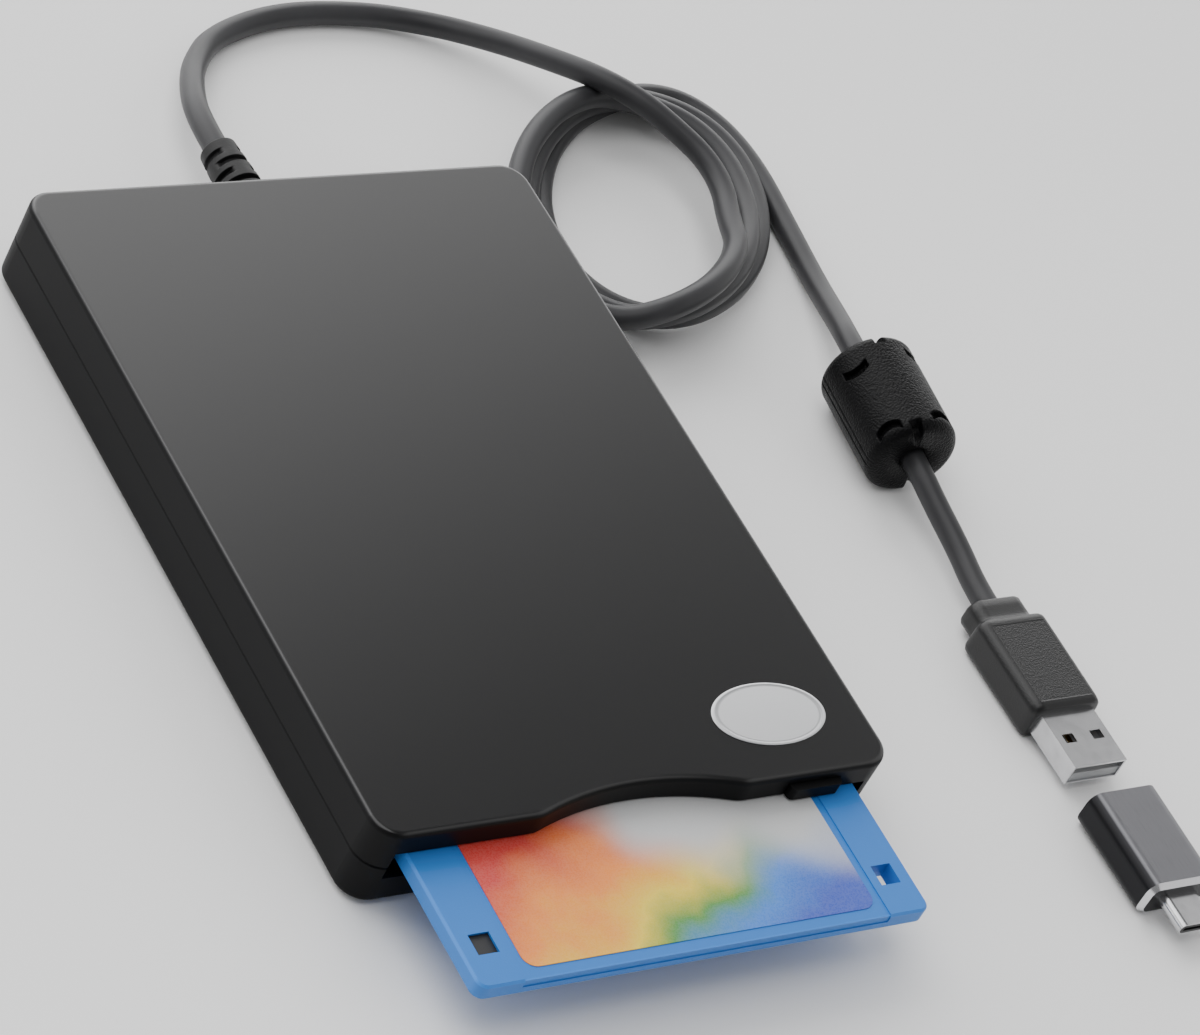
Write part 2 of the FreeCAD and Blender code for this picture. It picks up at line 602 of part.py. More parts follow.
def make_chassis():
    """Folded steel tray: base, two side walls with pin slots, and the tabs of the head drive."""
    base = box("chassis_base", ("-chassis_half", "chassis_half"),
               ("holder_front", "chassis_back"), ("chassis_bottom", "deck"))
    shapes = [base]
    holes = [box("stepper_hole", ("rod_x - stepper_radius - rod_radius", "rod_x + stepper_radius + rod_radius"),
                 ("stepper_front", "stepper_front + stepper_length + rod_radius"),
                 ("chassis_bottom - wall", "deck + wall"))]
    for side, low, high in (("", "chassis_half - sheet", "chassis_half"),
                            ("-", "-chassis_half", "sheet - chassis_half")):
        shapes.append(box("chassis_wall", (low, high), ("holder_front", "chassis_wall_back"),
                          ("chassis_bottom", "chassis_top")))
        for pin_y in ("pin_front_y", "pin_back_y"):
            half = "(pin_radius + pin_gap)"
            holes.append(box("pin_slot", (f"{low} - wall", f"{high} + wall"),
                             (f"{pin_y} - {half}", f"{pin_y} + {half}"),
                             ("pin_z - pin_radius - 2 * pin_gap", "chassis_top + wall")))
        for end in ("pad_front_y", "pad_back_y"):
            holes.append(rod("chassis_hole", "z", (f"{side}pad_x", end),
                             ("chassis_bottom - wall", "deck + wall"), "small_screw_radius + pin_gap"))
    rod_tabs = (("-rod_x", "rod_front"), ("-rod_x", "rod_back - sheet"), ("rod_x", "rod_front"),
                ("rod_x", "stepper_front - sheet"))
    for x, start in rod_tabs:
        shapes.append(box("rod_tab", (f"{x} - tab_half", f"{x} + tab_half"), (start, f"{start} + sheet"),
                          ("chassis_bottom", "rod_z + tab_rise")))
        radius = "rod_radius" if x == "-rod_x" else "screw_rod_radius + rod_gap"
        holes.append(rod("rod_hole", "y", (x, "rod_z"), (f"{start} - wall", f"{start} + wall"), radius))
    return node("chassis", cut("chassis_cut", fuse("chassis_shape", shapes), holes))


def make_holder():
    """Sheet-steel frame that carries the disk: a roof, two walls, two flanges, four pins."""
    roof = box("holder_roof", ("-holder_outer", "holder_outer"), ("holder_front", "holder_back"),
               ("holder_under", "holder_top"))
    shapes = [roof]
    for side in (1, -1):
        for low, high, bottom, top in (
                ("holder_inner", "holder_outer", "flange_top - thin_sheet", "holder_top"),
                ("holder_outer - holder_flange", "holder_outer", "flange_top - thin_sheet", "flange_top")):
            across = (low, high) if side > 0 else (f"-({high})", f"-({low})")
            shapes.append(box("holder_fold", across, ("holder_front", "holder_back"), (bottom, top)))
        for pin_y in ("pin_front_y", "pin_back_y"):
            reach = ("holder_inner", "chassis_half") if side > 0 else ("-chassis_half", "-holder_inner")
            shapes.append(rod("holder_pin", "x", (pin_y, "pin_z"), reach, "pin_radius"))
    opening = box("holder_window", ("-holder_opening", "holder_opening"),
                  ("holder_opening_y", "holder_back + wall"), ("holder_under - wall", "holder_top + wall"))
    return node("disk_holder", cut("holder_cut", fuse("holder_shape", shapes), [opening]))


def ramp_window(side, pin_y):
    """A window in an ejector arm: level where the pin rests, sloping down behind it."""
    half = get("pin_radius") + get("pin_gap")
    high = get("pin_z") + half
    low = get("pin_z") - half
    front = get(pin_y) - half
    rear = get(pin_y) + half + get("ejector_travel")
    drop = get("ramp_rise")
    points = [(front, low), (front, high), (rear, high), (rear + drop, high - drop),
              (rear + drop, low - drop / 2), (rear, low)]
    inner = side * (get("ejector_inner") - get("wall"))
    outline = Part.makePolygon([vector(inner, y, z) for y, z in points + points[:1]])
    window = doc.addObject("Part::Feature", "ramp_window")
    window.Shape = Part.Face(outline).extrude(vector(side * 3 * get("wall"), 0, 0))
    return window


def make_ejector():
    """Ejector plate over the holder: a roof, two arms with ramp windows, and the tongue."""
    top = ("ejector_under", "ejector_under + thin_sheet")
    outer = "(ejector_inner + sheet)"
    shapes = [box("ejector_roof", (f"-{outer}", outer), ("ejector_front", "ejector_back"), top),
              box("ejector_tongue", ("button_x - tongue_width / 2", "button_x + tongue_width / 2"),
                  ("button_front + button_length - tongue_bite", "ejector_front + sheet"), top)]
    holes = [box("ejector_window", ("-ejector_opening", "ejector_opening"),
                 ("ejector_opening_y", "ejector_back + wall"), ("holder_top", "roof_under")),
             box("ejector_clearance", ("-notch_side - fit_gap", "notch_side + fit_gap"),
                 ("ejector_front - wall", "-notch_inner + ejector_travel + slide_gap"),
                 ("holder_top", "roof_under"))]
    for side in (1, -1):
        across = ("ejector_inner", outer) if side > 0 else (f"-{outer}", "-ejector_inner")
        shapes.append(box("ejector_arm", across, ("ejector_front", "ejector_back"),
                          ("ejector_bottom", "ejector_under + thin_sheet")))
        for pin_y in ("pin_front_y", "pin_back_y"):
            holes.append(ramp_window(side, pin_y))
    return node("ejector_plate", cut("ejector_cut", fuse("ejector_shape", shapes), holes))


def make_spindle():
    """Spindle motor: board, bearing, stator with its coils, and the turning cup."""
    centre = ("0", "spindle_y")
    board_top = "deck + board_thickness"
    bearing_top = "deck + bearing_height"
    board = box("motor_board_plate", ("-motor_board_half", "motor_board_half"),
                ("motor_board_front", "-board_thickness"), ("deck", board_top))
    bore = rod("board_bore", "z", centre, ("chassis_bottom", "parting"), "bearing_radius")
    node("motor_board", cut("motor_board_cut", board, [bore]))
    bearing = rod("bearing_body", "z", centre, ("deck", bearing_top), "bearing_radius")
    hole = rod("bearing_bore", "z", centre, ("chassis_bottom", "parting"), "shaft_radius + shaft_gap")
    node("spindle_bearing", cut("bearing_cut", bearing, [hole]))
    node("spindle_shaft", rod("shaft", "z", centre, ("deck + shaft_gap * 2", "shaft_top"), "shaft_radius"))
    make_stator(centre)
    make_rotor(centre)


def spun(name, x, y, z, angle):
    """A box given about the spindle's axis and turned round it by an angle in degrees."""
    item = doc.addObject("Part::Box", name)
    bind(item, {"Length": less(x[1], x[0]), "Width": less(y[1], y[0]), "Height": less(z[1], z[0])})
    turn = FreeCAD.Rotation(vector(0, 0, 1), angle)
    item.Placement.Rotation = turn
    cosine = math.cos(math.radians(angle))
    sine = math.sin(math.radians(angle))
    return at(item, f"({x[0]}) * {cosine:.9f} - ({y[0]}) * {sine:.9f}",
              f"spindle_y + ({x[0]}) * {sine:.9f} + ({y[0]}) * {cosine:.9f}", z[0])


def make_stator(centre):
    """Stator of the spindle motor: a ring of teeth, each with a coil."""
    iron = ("stator_bottom", "stator_bottom + stator_height")
    core = "stator_bottom + stator_height / 2"
    shapes = [rod("stator_hub_disc", "z", centre, iron, "stator_hub")]
    coils = []
    count = int(get("tooth_count"))
    for i in range(count):
        angle = 360 / count * (i + 0.5)
        shapes.append(spun("tooth", ("0", "tooth_reach"), ("-tooth_width / 2", "tooth_width / 2"), iron, angle))
        shapes.append(spun("tooth_tip", ("tooth_reach - tip_depth", "tooth_reach"),
                           ("-tip_width / 2", "tip_width / 2"), iron, angle))
        coils.append(spun("coil", ("coil_start", "coil_end"), ("-coil_width / 2", "coil_width / 2"),
                          (f"{core} - coil_height / 2", f"{core} + coil_height / 2"), angle))
    bore = rod("stator_bore", "z", centre, ("chassis_bottom", "parting"), "bearing_radius")
    stator = node("spindle_stator", cut("stator_cut", fuse("stator_shape", shapes), [bore]))
    node("stator_coils", cut("coils_cut", group("coil_set", coils), [stator]))


def make_rotor(centre):
    """Turning cup of the spindle motor with its magnet, hub seat and drive pin."""
    seat_top = "rotor_top + seat_height"
    shapes = [rod("rotor_disc", "z", centre, ("rotor_bottom", "rotor_top"), "rotor_radius"),
              rod("rotor_seat", "z", centre, ("rotor_bottom", seat_top), "seat_radius")]
    hollow = rod("rotor_hollow", "z", centre, ("rotor_bottom - wall", "rotor_top - rotor_sheet"),
                 "rotor_radius - rotor_sheet")
    bore = rod("rotor_bore", "z", centre, ("chassis_bottom", "parting"), "shaft_radius")
    pin_hole = rod("rotor_pin_hole", "z", ("drive_pin_offset", "spindle_y"),
                   ("chassis_bottom", "parting"), "drive_pin_radius")
    node("rotor_cup", cut("rotor_cut", fuse("rotor_shape", shapes), [hollow, bore, pin_hole]))
    ring = ("rotor_bottom + rotor_sheet / 2", "rotor_bottom + rotor_sheet / 2 + magnet_height")
    outer = rod("magnet_outer", "z", centre, ring, "rotor_radius - rotor_sheet")
    inner = rod("magnet_inner", "z", centre, ("chassis_bottom", "parting"),
                "rotor_radius - rotor_sheet - magnet_thickness")
    node("rotor_magnet", cut("magnet_ring", outer, [inner]))
    node("drive_pin", rod("drive_peg", "z", ("drive_pin_offset", "spindle_y"),
                          ("rotor_top - rotor_sheet", "drive_pin_top"), "drive_pin_radius"))


def make_head_drive():
    """Guide rod, stepper with its lead screw, and the carriage that carries both heads."""
    node("guide_rod", rod("guide", "y", ("-rod_x", "rod_z"), ("rod_front", "rod_back"), "rod_radius"))
    motor = rod("stepper_can", "y", ("rod_x", "rod_z"),
                ("stepper_front", "stepper_front + stepper_length"), "stepper_radius")
    hole = rod("stepper_bore", "y", ("rod_x", "rod_z"), ("stepper_front - wall", "stepper_front + wall"),
               "screw_rod_radius + rod_gap")
    face = rod("stepper_boss", "y", ("rod_x", "rod_z"), ("stepper_front - rod_gap", "stepper_front"),
               "screw_rod_radius + rod_gap")
    node("stepper_motor", cut("stepper_shape", motor, [hole, face]))
    node("lead_screw", rod("lead_rod", "y", ("rod_x", "rod_z"),
                           ("rod_front", "stepper_front + wall - pin_gap"), "screw_rod_radius"))
    shapes = [box("carriage_block", ("-carriage_half", "carriage_half"),
                  ("carriage_front", "carriage_back"), ("carriage_bottom", "carriage_top")),
              box("carriage_lug", ("-rod_x - lug_reach", "rod_x + lug_reach"), ("lug_front", "lug_back"),
                  ("carriage_bottom", "carriage_top - pin_gap")),
              box("carriage_post", ("-arm_half", "arm_half"), ("post_front", "carriage_back"),
                  ("carriage_bottom", "head_top + sheet + pin_gap"))]
    holes = [rod("carriage_bore", "y", (side + "rod_x", "rod_z"), ("lug_front - wall", "lug_back + wall"),
                 f"{radius} + rod_gap") for side, radius in (("-", "rod_radius"), ("", "screw_rod_radius"))]
    node("head_carriage", cut("carriage_cut", fuse("carriage_shape", shapes), holes))
    face = (("-head_half", "head_half"), ("head_front", "head_front + head_length"))
    node("lower_head", box("lower_slider", *face, ("carriage_top", "disk_bottom - head_gap")))
    arm_under = "head_top + sheet + pin_gap"
    node("upper_head", box("upper_slider", *face, ("head_top", arm_under)))
    node("head_arm", box("arm", ("-arm_half", "arm_half"), ("head_front", "carriage_back"),
                         (arm_under, f"{arm_under} + arm_thickness")))


# Each chip's left, right, front and back edge, as shares of the control board.
CHIPS = ((0.11, 0.54, 0.11, 0.43), (0.64, 0.89, 0.13, 0.39), (0.14, 0.46, 0.53, 0.71),
         (0.57, 0.89, 0.5, 0.82), (0.18, 0.39, 0.79, 0.92))


def make_boards():
    """Control board with its chips, and the interface board with the cord's header."""
    top = "deck + board_thickness"
    node("main_board", box("control_board", ("main_left", "main_right"), ("main_front", "main_back"),
                           ("deck", top)))
    chips = []
    wide, deep = "(main_right - main_left)", "(main_back - main_front)"
    for left, right, front, back in CHIPS:
        chips.append(box("chip", (f"main_left + {left} * {wide}", f"main_left + {right} * {wide}"),
                         (f"main_front + {front} * {deep}", f"main_front + {back} * {deep}"),
                         (top, f"{top} + chip_height")))
    node("board_chips", group("chip_set", chips))
    lift = "base_thickness + board_thickness"
    node("interface_board", box("io_board", ("-io_half", "io_half"),
                                ("io_front", "io_back - relief_flange_depth"),
                                ("base_thickness", lift)))
    node("cord_header", box("header_block", ("relief_x - header_half", "relief_x + header_half"),
                            ("io_front + sheet", "io_front + sheet + header_depth"),
                            (lift, f"{lift} + header_height")))


def make_disk_half(name, outer, inner):
    """One half of the disk's shell; outer is its label or hub face, inner its parting face."""
    upper = name == "disk_upper_shell"
    low, high = (inner, outer) if upper else (outer, inner)
    rear = "disk_rear"
    half = Moulding(name)
    half.add_box(("-disk_side", "disk_side"), ("disk_front", rear), (low, high))
    side, front, back = get("disk_side"), get("disk_front"), get(rear)

    def label_end(edge):
        return upright(edge) and abs(edge.BoundBox.YMin - front) < 0.01

    def cut_corner(edge):
        return (upright(edge) and abs(edge.BoundBox.YMin - back) < 0.01
                and abs(edge.BoundBox.XMin - side) < 0.01)

    half.dress("Chamfer", "disk_cut_corner", cut_corner)
    half.dress("Fillet", "disk_corner", label_end)
    half.dress("Chamfer", "disk_edge", level_at(get(outer)))
    past = (f"{low} - wall", f"{high} + wall")
    if upper:
        cavity = (f"{inner} - wall", f"{inner} + cavity_height / 2")
        sunk = (f"{outer} - shutter_recess", f"{outer} + wall")
        tab = (f"{inner} - wall", f"{inner} + tab_height / 2 + slide_gap / 4")
    else:
        cavity = (f"{inner} - cavity_height / 2", f"{inner} + wall")
        sunk = (f"{outer} - wall", f"{outer} + shutter_recess")
        tab = (f"{inner} - tab_height / 2 - slide_gap / 4", f"{inner} + wall")
    half.cut_round("0", "hub_y", cavity, "cavity_radius")
    half.cut_box(*HEAD_WINDOW, past)
    reach = "shutter_width / 2 + shutter_travel / 2 + pin_gap * 2"
    path = (f"-({reach})", reach)
    half.cut_box(path, (f"{rear} - shutter_long - pin_gap", f"{rear} + wall"), sunk)
    half.cut_box(path, (f"{rear} - shutter_recess", f"{rear} + wall"), past)
    for side_x in ("", "-"):
        hole = f"{side_x}square_hole_x"
        half.cut_box((f"{hole} - square_hole / 2", f"{hole} + square_hole / 2"),
                     ("disk_front + square_hole_from_label - square_hole / 2",
                      "disk_front + square_hole_from_label + square_hole / 2"), past)
    half.cut_box(("-square_hole_x - tab_width / 2 - pin_gap", "-square_hole_x + tab_width / 2 + pin_gap"),
                 ("tab_start - pin_gap", "tab_start + tab_length + tab_travel + pin_gap"), tab)
    if upper:
        panel = ("-panel_width / 2", "panel_width / 2")
        length = ("disk_front - wall", "disk_front + 2 * label_setback + label_length")
        half.cut_box(panel, length, (f"{outer} - panel_depth", f"{outer} + wall"))
        half.cut_box(panel, ("disk_front - wall", "disk_front + panel_depth"), past)
    else:
        half.cut_round("0", "hub_y", past, "hub_opening")
    return node(name, half.body)


def make_disk():
    """The 3.5 inch disk: shell halves, label, sleeve shutter, hub, medium, liners and tab."""
    make_disk_half("disk_upper_shell", "disk_top", "disk_middle")
    make_disk_half("disk_lower_shell", "disk_bottom", "disk_middle")
    label = Moulding("disk_label")
    under = "disk_top - panel_depth"
    label.add_box(("-label_width / 2", "label_width / 2"),
                  ("disk_front + label_setback", "disk_front + label_setback + label_length"),
                  (under, f"{under} + label_thickness"))
    label.dress("Fillet", "label_corner", upright)
    node("disk_label", label.body)
    make_shutter()
    centre = ("0", "hub_y")
    sheet = ("disk_middle - media_thickness / 2", "disk_middle + media_thickness / 2")
    all_z = ("chassis_bottom", "roof_under")
    disc = rod("media_disc", "z", centre, sheet, "media_radius")
    node("disk_media", cut("media_ring", disc, [rod("media_bore", "z", centre, all_z, "media_hole")]))
    hub = rod("hub_disc", "z", centre, ("disk_bottom + hub_sink", sheet[0]), "hub_radius")
    square = box("hub_hole", ("-hub_square / 2", "hub_square / 2"),
                 ("hub_y - hub_square / 2", "hub_y + hub_square / 2"), all_z)
    slot = box("hub_slot", ("hub_pin_x", "hub_pin_x + hub_pin_slot_long - wall / 2"),
               ("hub_y - hub_pin_slot_wide / 2", "hub_y + hub_pin_slot_wide / 2"), all_z)
    node("disk_hub", cut("hub_cut", hub, [square, slot]))
    liners = []
    for low, high in (("disk_middle - cavity_height / 2", "disk_middle - cavity_height / 2 + liner_thickness"),
                      ("disk_middle + cavity_height / 2 - liner_thickness", "disk_middle + cavity_height / 2")):
        liners.append(rod("liner", "z", centre, (low, high), "media_radius"))
    hole = rod("liner_bore", "z", centre, all_z, "liner_hole")
    window = box("liner_window", *HEAD_WINDOW, all_z)
    node("disk_liners", cut("liners_cut", group("liner_pair", liners), [hole, window]))
    node("write_protect_tab", box("tab", ("-square_hole_x - tab_width / 2", "-square_hole_x + tab_width / 2"),
                                  ("tab_start", "tab_start + tab_length"),
                                  ("disk_middle - tab_height / 2", "disk_middle + tab_height / 2")))


HEAD_WINDOW = (("-head_window_width / 2", "head_window_width / 2"),
               ("hub_y + head_window_near", "hub_y + head_window_near + head_window_long"))


def make_shutter():
    """Folded sleeve that covers the head window, with a window of its own to the left."""
    play = "(shutter_recess - shutter_sheet) / 2"
    skin = f"({play} + shutter_sheet)"
    across = ("shutter_x - shutter_width / 2", "shutter_x + shutter_width / 2")
    start = "disk_rear - shutter_long"
    sleeve = box("sleeve", across, (start, f"disk_rear - {play}"),
                 (f"disk_bottom + {play}", f"disk_top - {play}"))
    inside = box("sleeve_inside", (f"{across[0]} - wall", f"{across[1]} + wall"),
                 (f"{start} - wall", f"disk_rear - {skin}"),
                 (f"disk_bottom + {skin}", f"disk_top - {skin}"))
    shift = "- shutter_travel"
    window = box("sleeve_window", tuple(f"{x} {shift}" for x in HEAD_WINDOW[0]), HEAD_WINDOW[1],
                 ("disk_bottom - wall", "disk_top + wall"))
    node("disk_shutter", cut("sleeve_cut", sleeve, [inside, window]))


# Points that the cord passes near; the coil between the two stretches is worked out below.
LEAD = [(-2.0, 85.8, 8.3), (-2.0, 94.0, 8.3), (1.5, 102.5, 6.4), (7.5, 112.0, 3.2),
        (16.5, 121.0, 1.6), (33.0, 126.3, 1.6), (51.0, 125.8, 1.6), (66.0, 121.5, 1.7),
        (76.0, 113.0, 3.6), (83.0, 103.6, 8.0), (88.5, 95.6, 8.8)]
TAIL = [(102.5, 98.4, 1.6), (109.2, 96.5, 1.6), (114.6, 92.0, 1.6), (117.8, 85.8, 1.6),
        (118.4, 76.8, 1.6), (116.4, 61.5, 1.6), (114.2, 47.8, 2.2), (110.4, 36.4, 5.4),
        (106.7, 27.4, 8.3), (103.6, -3.0, 8.3), (103.9, -10.5, 6.3), (104.1, -19.5, 4.3),
        (104.0, -27.5, 3.4), (104.0, -32.5, 3.4)]
# The coil's outline: centre x and y, half length, half width, and tilt in degrees.
COIL_OUTER = (83.9, 68.5, 35.8, 26.2, 44.0)
COIL_INNER = (83.8, 68.4, 26.2, 14.4, 50.0)
COIL_HEIGHT = 12.0
COIL_ROUND = 2.5


def cord_path(points):
    """Straight runs joined by arcs as large as the runs allow; gives the wire and its radii."""
    spots = [vector(*p) for p in points]
    edges = []
    radii = []
    last = spots[0]
    for before, corner, after in zip(spots, spots[1:], spots[2:]):
        back = before - corner
        ahead = after - corner
        shorter = min(back.Length, ahead.Length)
        back.normalize()
        ahead.normalize()
        turn = math.pi - back.getAngle(ahead)
        reach = 0.45 * shorter
        radius = reach / math.tan(turn / 2)
        bisector = (back + ahead).normalize()
        centre = corner + bisector * (radius / math.cos(turn / 2))
        start = corner + back * reach
        end = corner + ahead * reach
        edges.append(Part.LineSegment(last, start).toShape())
        edges.append(Part.Arc(start, centre - bisector * radius, end).toShape())
        radii.append(round(radius, 1))
        last = end
    edges.append(Part.LineSegment(last, spots[-1]).toShape())
    return Part.Wire(edges), radii


def make_tube(name, points):
    """A plain round tube along the cord's path."""
    path, radii = cord_path(points)
    radius = get("cord_radius")
    ahead = vector(*points[1]) - vector(*points[0])
    ring = Part.Wire(Part.Circle(vector(*points[0]), ahead, radius).toShape())
    tube = path.makePipeShell([ring], True, True)
    expected = math.pi * radius ** 2 * path.Length
    print(f"{name}: length {path.Length:.1f}, radii {radii}, volume {tube.Volume / expected:.4f}")
    item = doc.addObject("Part::Feature", name + "_tube")
    item.Shape = tube
    return node(name, item)


def oval_face(oval, height):
    """A flat tilted ellipse at a height."""
    x, y, long, short, tilt = oval
    edge = Part.Ellipse(vector(0, 0), long, short).toShape()
    edge.rotate(vector(0, 0), vector(0, 0, 1), tilt)
    edge.translate(vector(x, y, height))
    return Part.Face(Part.Wire(edge))


def make_coil():
    """Closed ring with the outer shape of the cord's coil."""
    floor = get("floor_z")
    ring = oval_face(COIL_OUTER, floor).cut(oval_face(COIL_INNER, floor))
    solid = ring.extrude(vector(0, 0, COIL_HEIGHT))
    rims = [edge for edge in solid.Edges if not upright(edge)]
    item = doc.addObject("Part::Feature", "coil_ring")
    item.Shape = solid.makeFillet(COIL_ROUND, rims)
    return node("cord_coil", item)


def make_choke():
    """Ferrite clamp on the cord: a slotted case round a tubular core."""
    middle_y = get("choke_y")
    start, end = next((vector(*a), vector(*b)) for a, b in zip(TAIL, TAIL[1:])
                      if a[1] >= middle_y >= b[1])
    ahead = end - start
    turn = FreeCAD.Rotation(vector(0, -1, 0), ahead)
    centre = start + ahead * ((middle_y - start.y) / ahead.y)
    long, wide, core = get("choke_length"), get("choke_radius"), get("choke_core_radius")
    core_long = get("choke_core_length")
    bore = get("cord_radius") + get("choke_bore_gap")

    def disc(radius, length):
        return Part.makeCylinder(radius, length, vector(0, length / 2, 0), vector(0, -1, 0))

    case = disc(wide, long)
    rims = [edge for edge in case.Edges if edge.BoundBox.YLength < 0.01]
    case = case.makeFillet(get("choke_round"), rims)
    case = case.cut(disc(core, core_long)).cut(disc(bore, 2 * long))
    slot_wide, slot_long = get("choke_slot_wide"), get("choke_slot_long")
    slot_deep, slot_y = get("choke_slot_deep"), long / 2 - get("choke_slot_inset")
    for i in range(3):
        for end in (-1, 1):
            slot = Part.makeBox(slot_long, slot_wide, 2 * slot_deep)
            slot.translate(vector(-slot_long / 2, end * slot_y - slot_wide / 2, wide - slot_deep))
            slot.rotate(vector(0, 0), vector(0, 1, 0), 60 + 120 * i)
            case = case.cut(slot)
    for name, shape in (("ferrite_case", case), ("ferrite_core", disc(core, core_long).cut(disc(bore, 2 * long)))):
        item = doc.addObject("Part::Feature", name + "_solid")
        item.Shape = shape
        item.Placement = FreeCAD.Placement(centre, turn)
        node(name, item)


def about(centre, half):
    """A pair of places either side of a centre."""
    return (f"{centre} - {half}", f"{centre} + {half}")


def make_plug():
    """Moulded grip with the USB-A plug: shell, insulator and four contacts."""
    grip = Moulding("plug_grip")
    front = "plug_back - neck_length - grip_length"
    grip.add_box(about("plug_x", "grip_width / 2"), (front, "plug_back - neck_length"),
                 about("plug_z", "grip_height / 2"))
    grip.dress("Fillet", "grip_corner", upright)
    top, bottom = get("plug_z") + get("grip_height") / 2, get("plug_z") - get("grip_height") / 2
    grip.dress("Fillet", "grip_corner * 0.6", lambda e: level_at(top)(e) or level_at(bottom)(e))
    grip.add_box(about("plug_x", "neck_width / 2"), ("plug_back - neck_length - wall", "plug_back"),
                 about("plug_z", "neck_height / 2"))
    node("plug_grip", grip.body)
    tip = f"{front} - plug_shell_length"
    tube = box("usb_shell", about("plug_x", "plug_shell_width / 2"), (tip, front),
               about("plug_z", "plug_shell_height / 2"))
    inside_x = about("plug_x", "(plug_shell_width / 2 - plug_sheet)")
    inside_z = about("plug_z", "(plug_shell_height / 2 - plug_sheet)")
    cuts = [box("usb_inside", inside_x, (f"{tip} - wall", f"{front} + wall"), inside_z)]
    for side in ("-", "+"):
        cuts.append(box("usb_hole", about(f"plug_x {side} plug_hole_apart / 2", "plug_hole_wide / 2"),
                        about(f"{tip} + plug_hole_from_tip", "plug_hole_long / 2"),
                        about("plug_z", "plug_shell_height")))
    node("plug_shell", cut("usb_shell_cut", tube, cuts))
    block_top = f"{inside_z[0]} + insulator_height"
    node("plug_insulator", box("usb_block", inside_x, (f"{tip} + plug_sheet", front),
                               (inside_z[0], block_top)))
    strips = []
    for i in range(4):
        spot = f"plug_x + {i - 1.5} * contact_pitch"
        strips.append(box("usb_contact", about(spot, "contact_width / 2"),
                          (f"{tip} + wall", f"{tip} + wall + contact_length"),
                          (block_top, f"{block_top} + contact_thickness")))
    node("plug_contacts", group("usb_contacts", strips))


def stadium(name, width, height, y):
    """A bar along Y with round ends to its section, on the plug's axis."""
    reach = f"(({width}) / 2 - ({height}) / 2)"
    ends = [rod(name + "_end", "y", (f"plug_x {sign} {reach}", "plug_z"), y, f"({height}) / 2")
            for sign in ("-", "+")]
    return fuse(name, ends + [box(name + "_bar", about("plug_x", reach), y,
                                  about("plug_z", f"({height}) / 2"))])


def make_adapter():
    """USB-A to USB-C adapter: housing, socket core with its tongue, and the small plug."""
    housing = Moulding("adapter_housing")
    rear = "adapter_front - adapter_length"
    lined = "(plug_shell_width / 2 + socket_gap + core_lining)"
    lined_z = "(plug_shell_height / 2 + socket_gap + core_lining)"
    housing.add_box(about("plug_x", "adapter_width / 2"), (rear, "adapter_front"),
                    about("plug_z", "adapter_height / 2"))
    housing.dress("Fillet", "adapter_round", lambda edge: edge.BoundBox.YLength > get("adapter_length") - 0.01)
    end = get("adapter_front") - get("adapter_length")
    housing.dress("Chamfer", "adapter_chamfer",
                  lambda e: abs(e.BoundBox.YMin - end) < 0.001 and abs(e.BoundBox.YMax - end) < 0.001)
    housing.cut_box(about("plug_x", lined), ("adapter_front - socket_depth - core_lining", "adapter_front + wall"),
                    about("plug_z", lined_z))
    node("adapter_housing", housing.body)
    block = box("socket_block", about("plug_x", lined),
                ("adapter_front - socket_depth - core_lining", "adapter_front"), about("plug_z", lined_z))
    socket = box("socket", about("plug_x", "(plug_shell_width / 2 + socket_gap)"),
                 ("adapter_front - socket_depth", "adapter_front + wall"),
                 about("plug_z", "(plug_shell_height / 2 + socket_gap)"))
    inside = "plug_z - plug_shell_height / 2 + plug_sheet + insulator_height + contact_thickness"
    tongue = box("socket_tongue", about("plug_x", "(plug_shell_width / 2 - 2 * plug_sheet - fit_gap)"),
                 ("adapter_front - socket_depth - core_lining / 2", "adapter_front - wall"),
                 (f"{inside} + fit_gap", "plug_z + plug_shell_height / 2 - plug_sheet - fit_gap"))
    node("adapter_core", fuse("socket_core", [cut("socket_cut", block, [socket]), tongue]))
    reach = (f"{rear} - tip_long", rear)
    past = (f"{rear} - tip_long - wall", f"{rear} + wall")
    thin = ("tip_wide - 2 * tip_sheet", "tip_high - 2 * tip_sheet")
    node("adapter_usb_c_shell", cut("tip_shell", stadium("tip_bar", "tip_wide", "tip_high", reach),
                                    [stadium("tip_hollow", *thin, past)]))
    slot = box("tip_slot", about("plug_x", "tip_tongue_wide / 2"), (past[0], f"{rear} - wall / 2"),
               about("plug_z", "tip_tongue_high / 2"))
    node("adapter_usb_c_core", cut("tip_core", stadium("tip_fill", *thin, reach), [slot]))


make_lower_shell()
make_upper_shell()
make_feet()
make_badge()
make_screws()
make_strain_relief()
make_button()
make_chassis()
make_holder()
make_ejector()
make_spindle()
make_head_drive()
make_boards()
make_disk()
make_tube("cord_lead", LEAD)
make_coil()
make_tube("cord_tail", TAIL)
make_choke()
make_plug()
make_adapter()
doc.recompute()

for item in doc.Objects:
    if {"Invalid", "Error"} & set(item.State):
        raise RuntimeError(f"{item.Name} failed: {item.State}")
os.makedirs("parts", exist_ok=True)
for name, item in NODES.items():
    shape = item.Shape
    if shape.isNull() or not shape.isValid() or not shape.Solids:
        raise RuntimeError(f"{name} has no sound solid")
    shape.exportStep(f"parts/{name}.step")
print(f"{len(NODES)} parts written")
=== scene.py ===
"""The finished look of an external floppy disk drive with a disk in its slot.

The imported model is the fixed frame.  Operators add the cord, the moulded pieces
and the finishes; the panel in the sidebar lists them.
"""
import sys

import json
import math

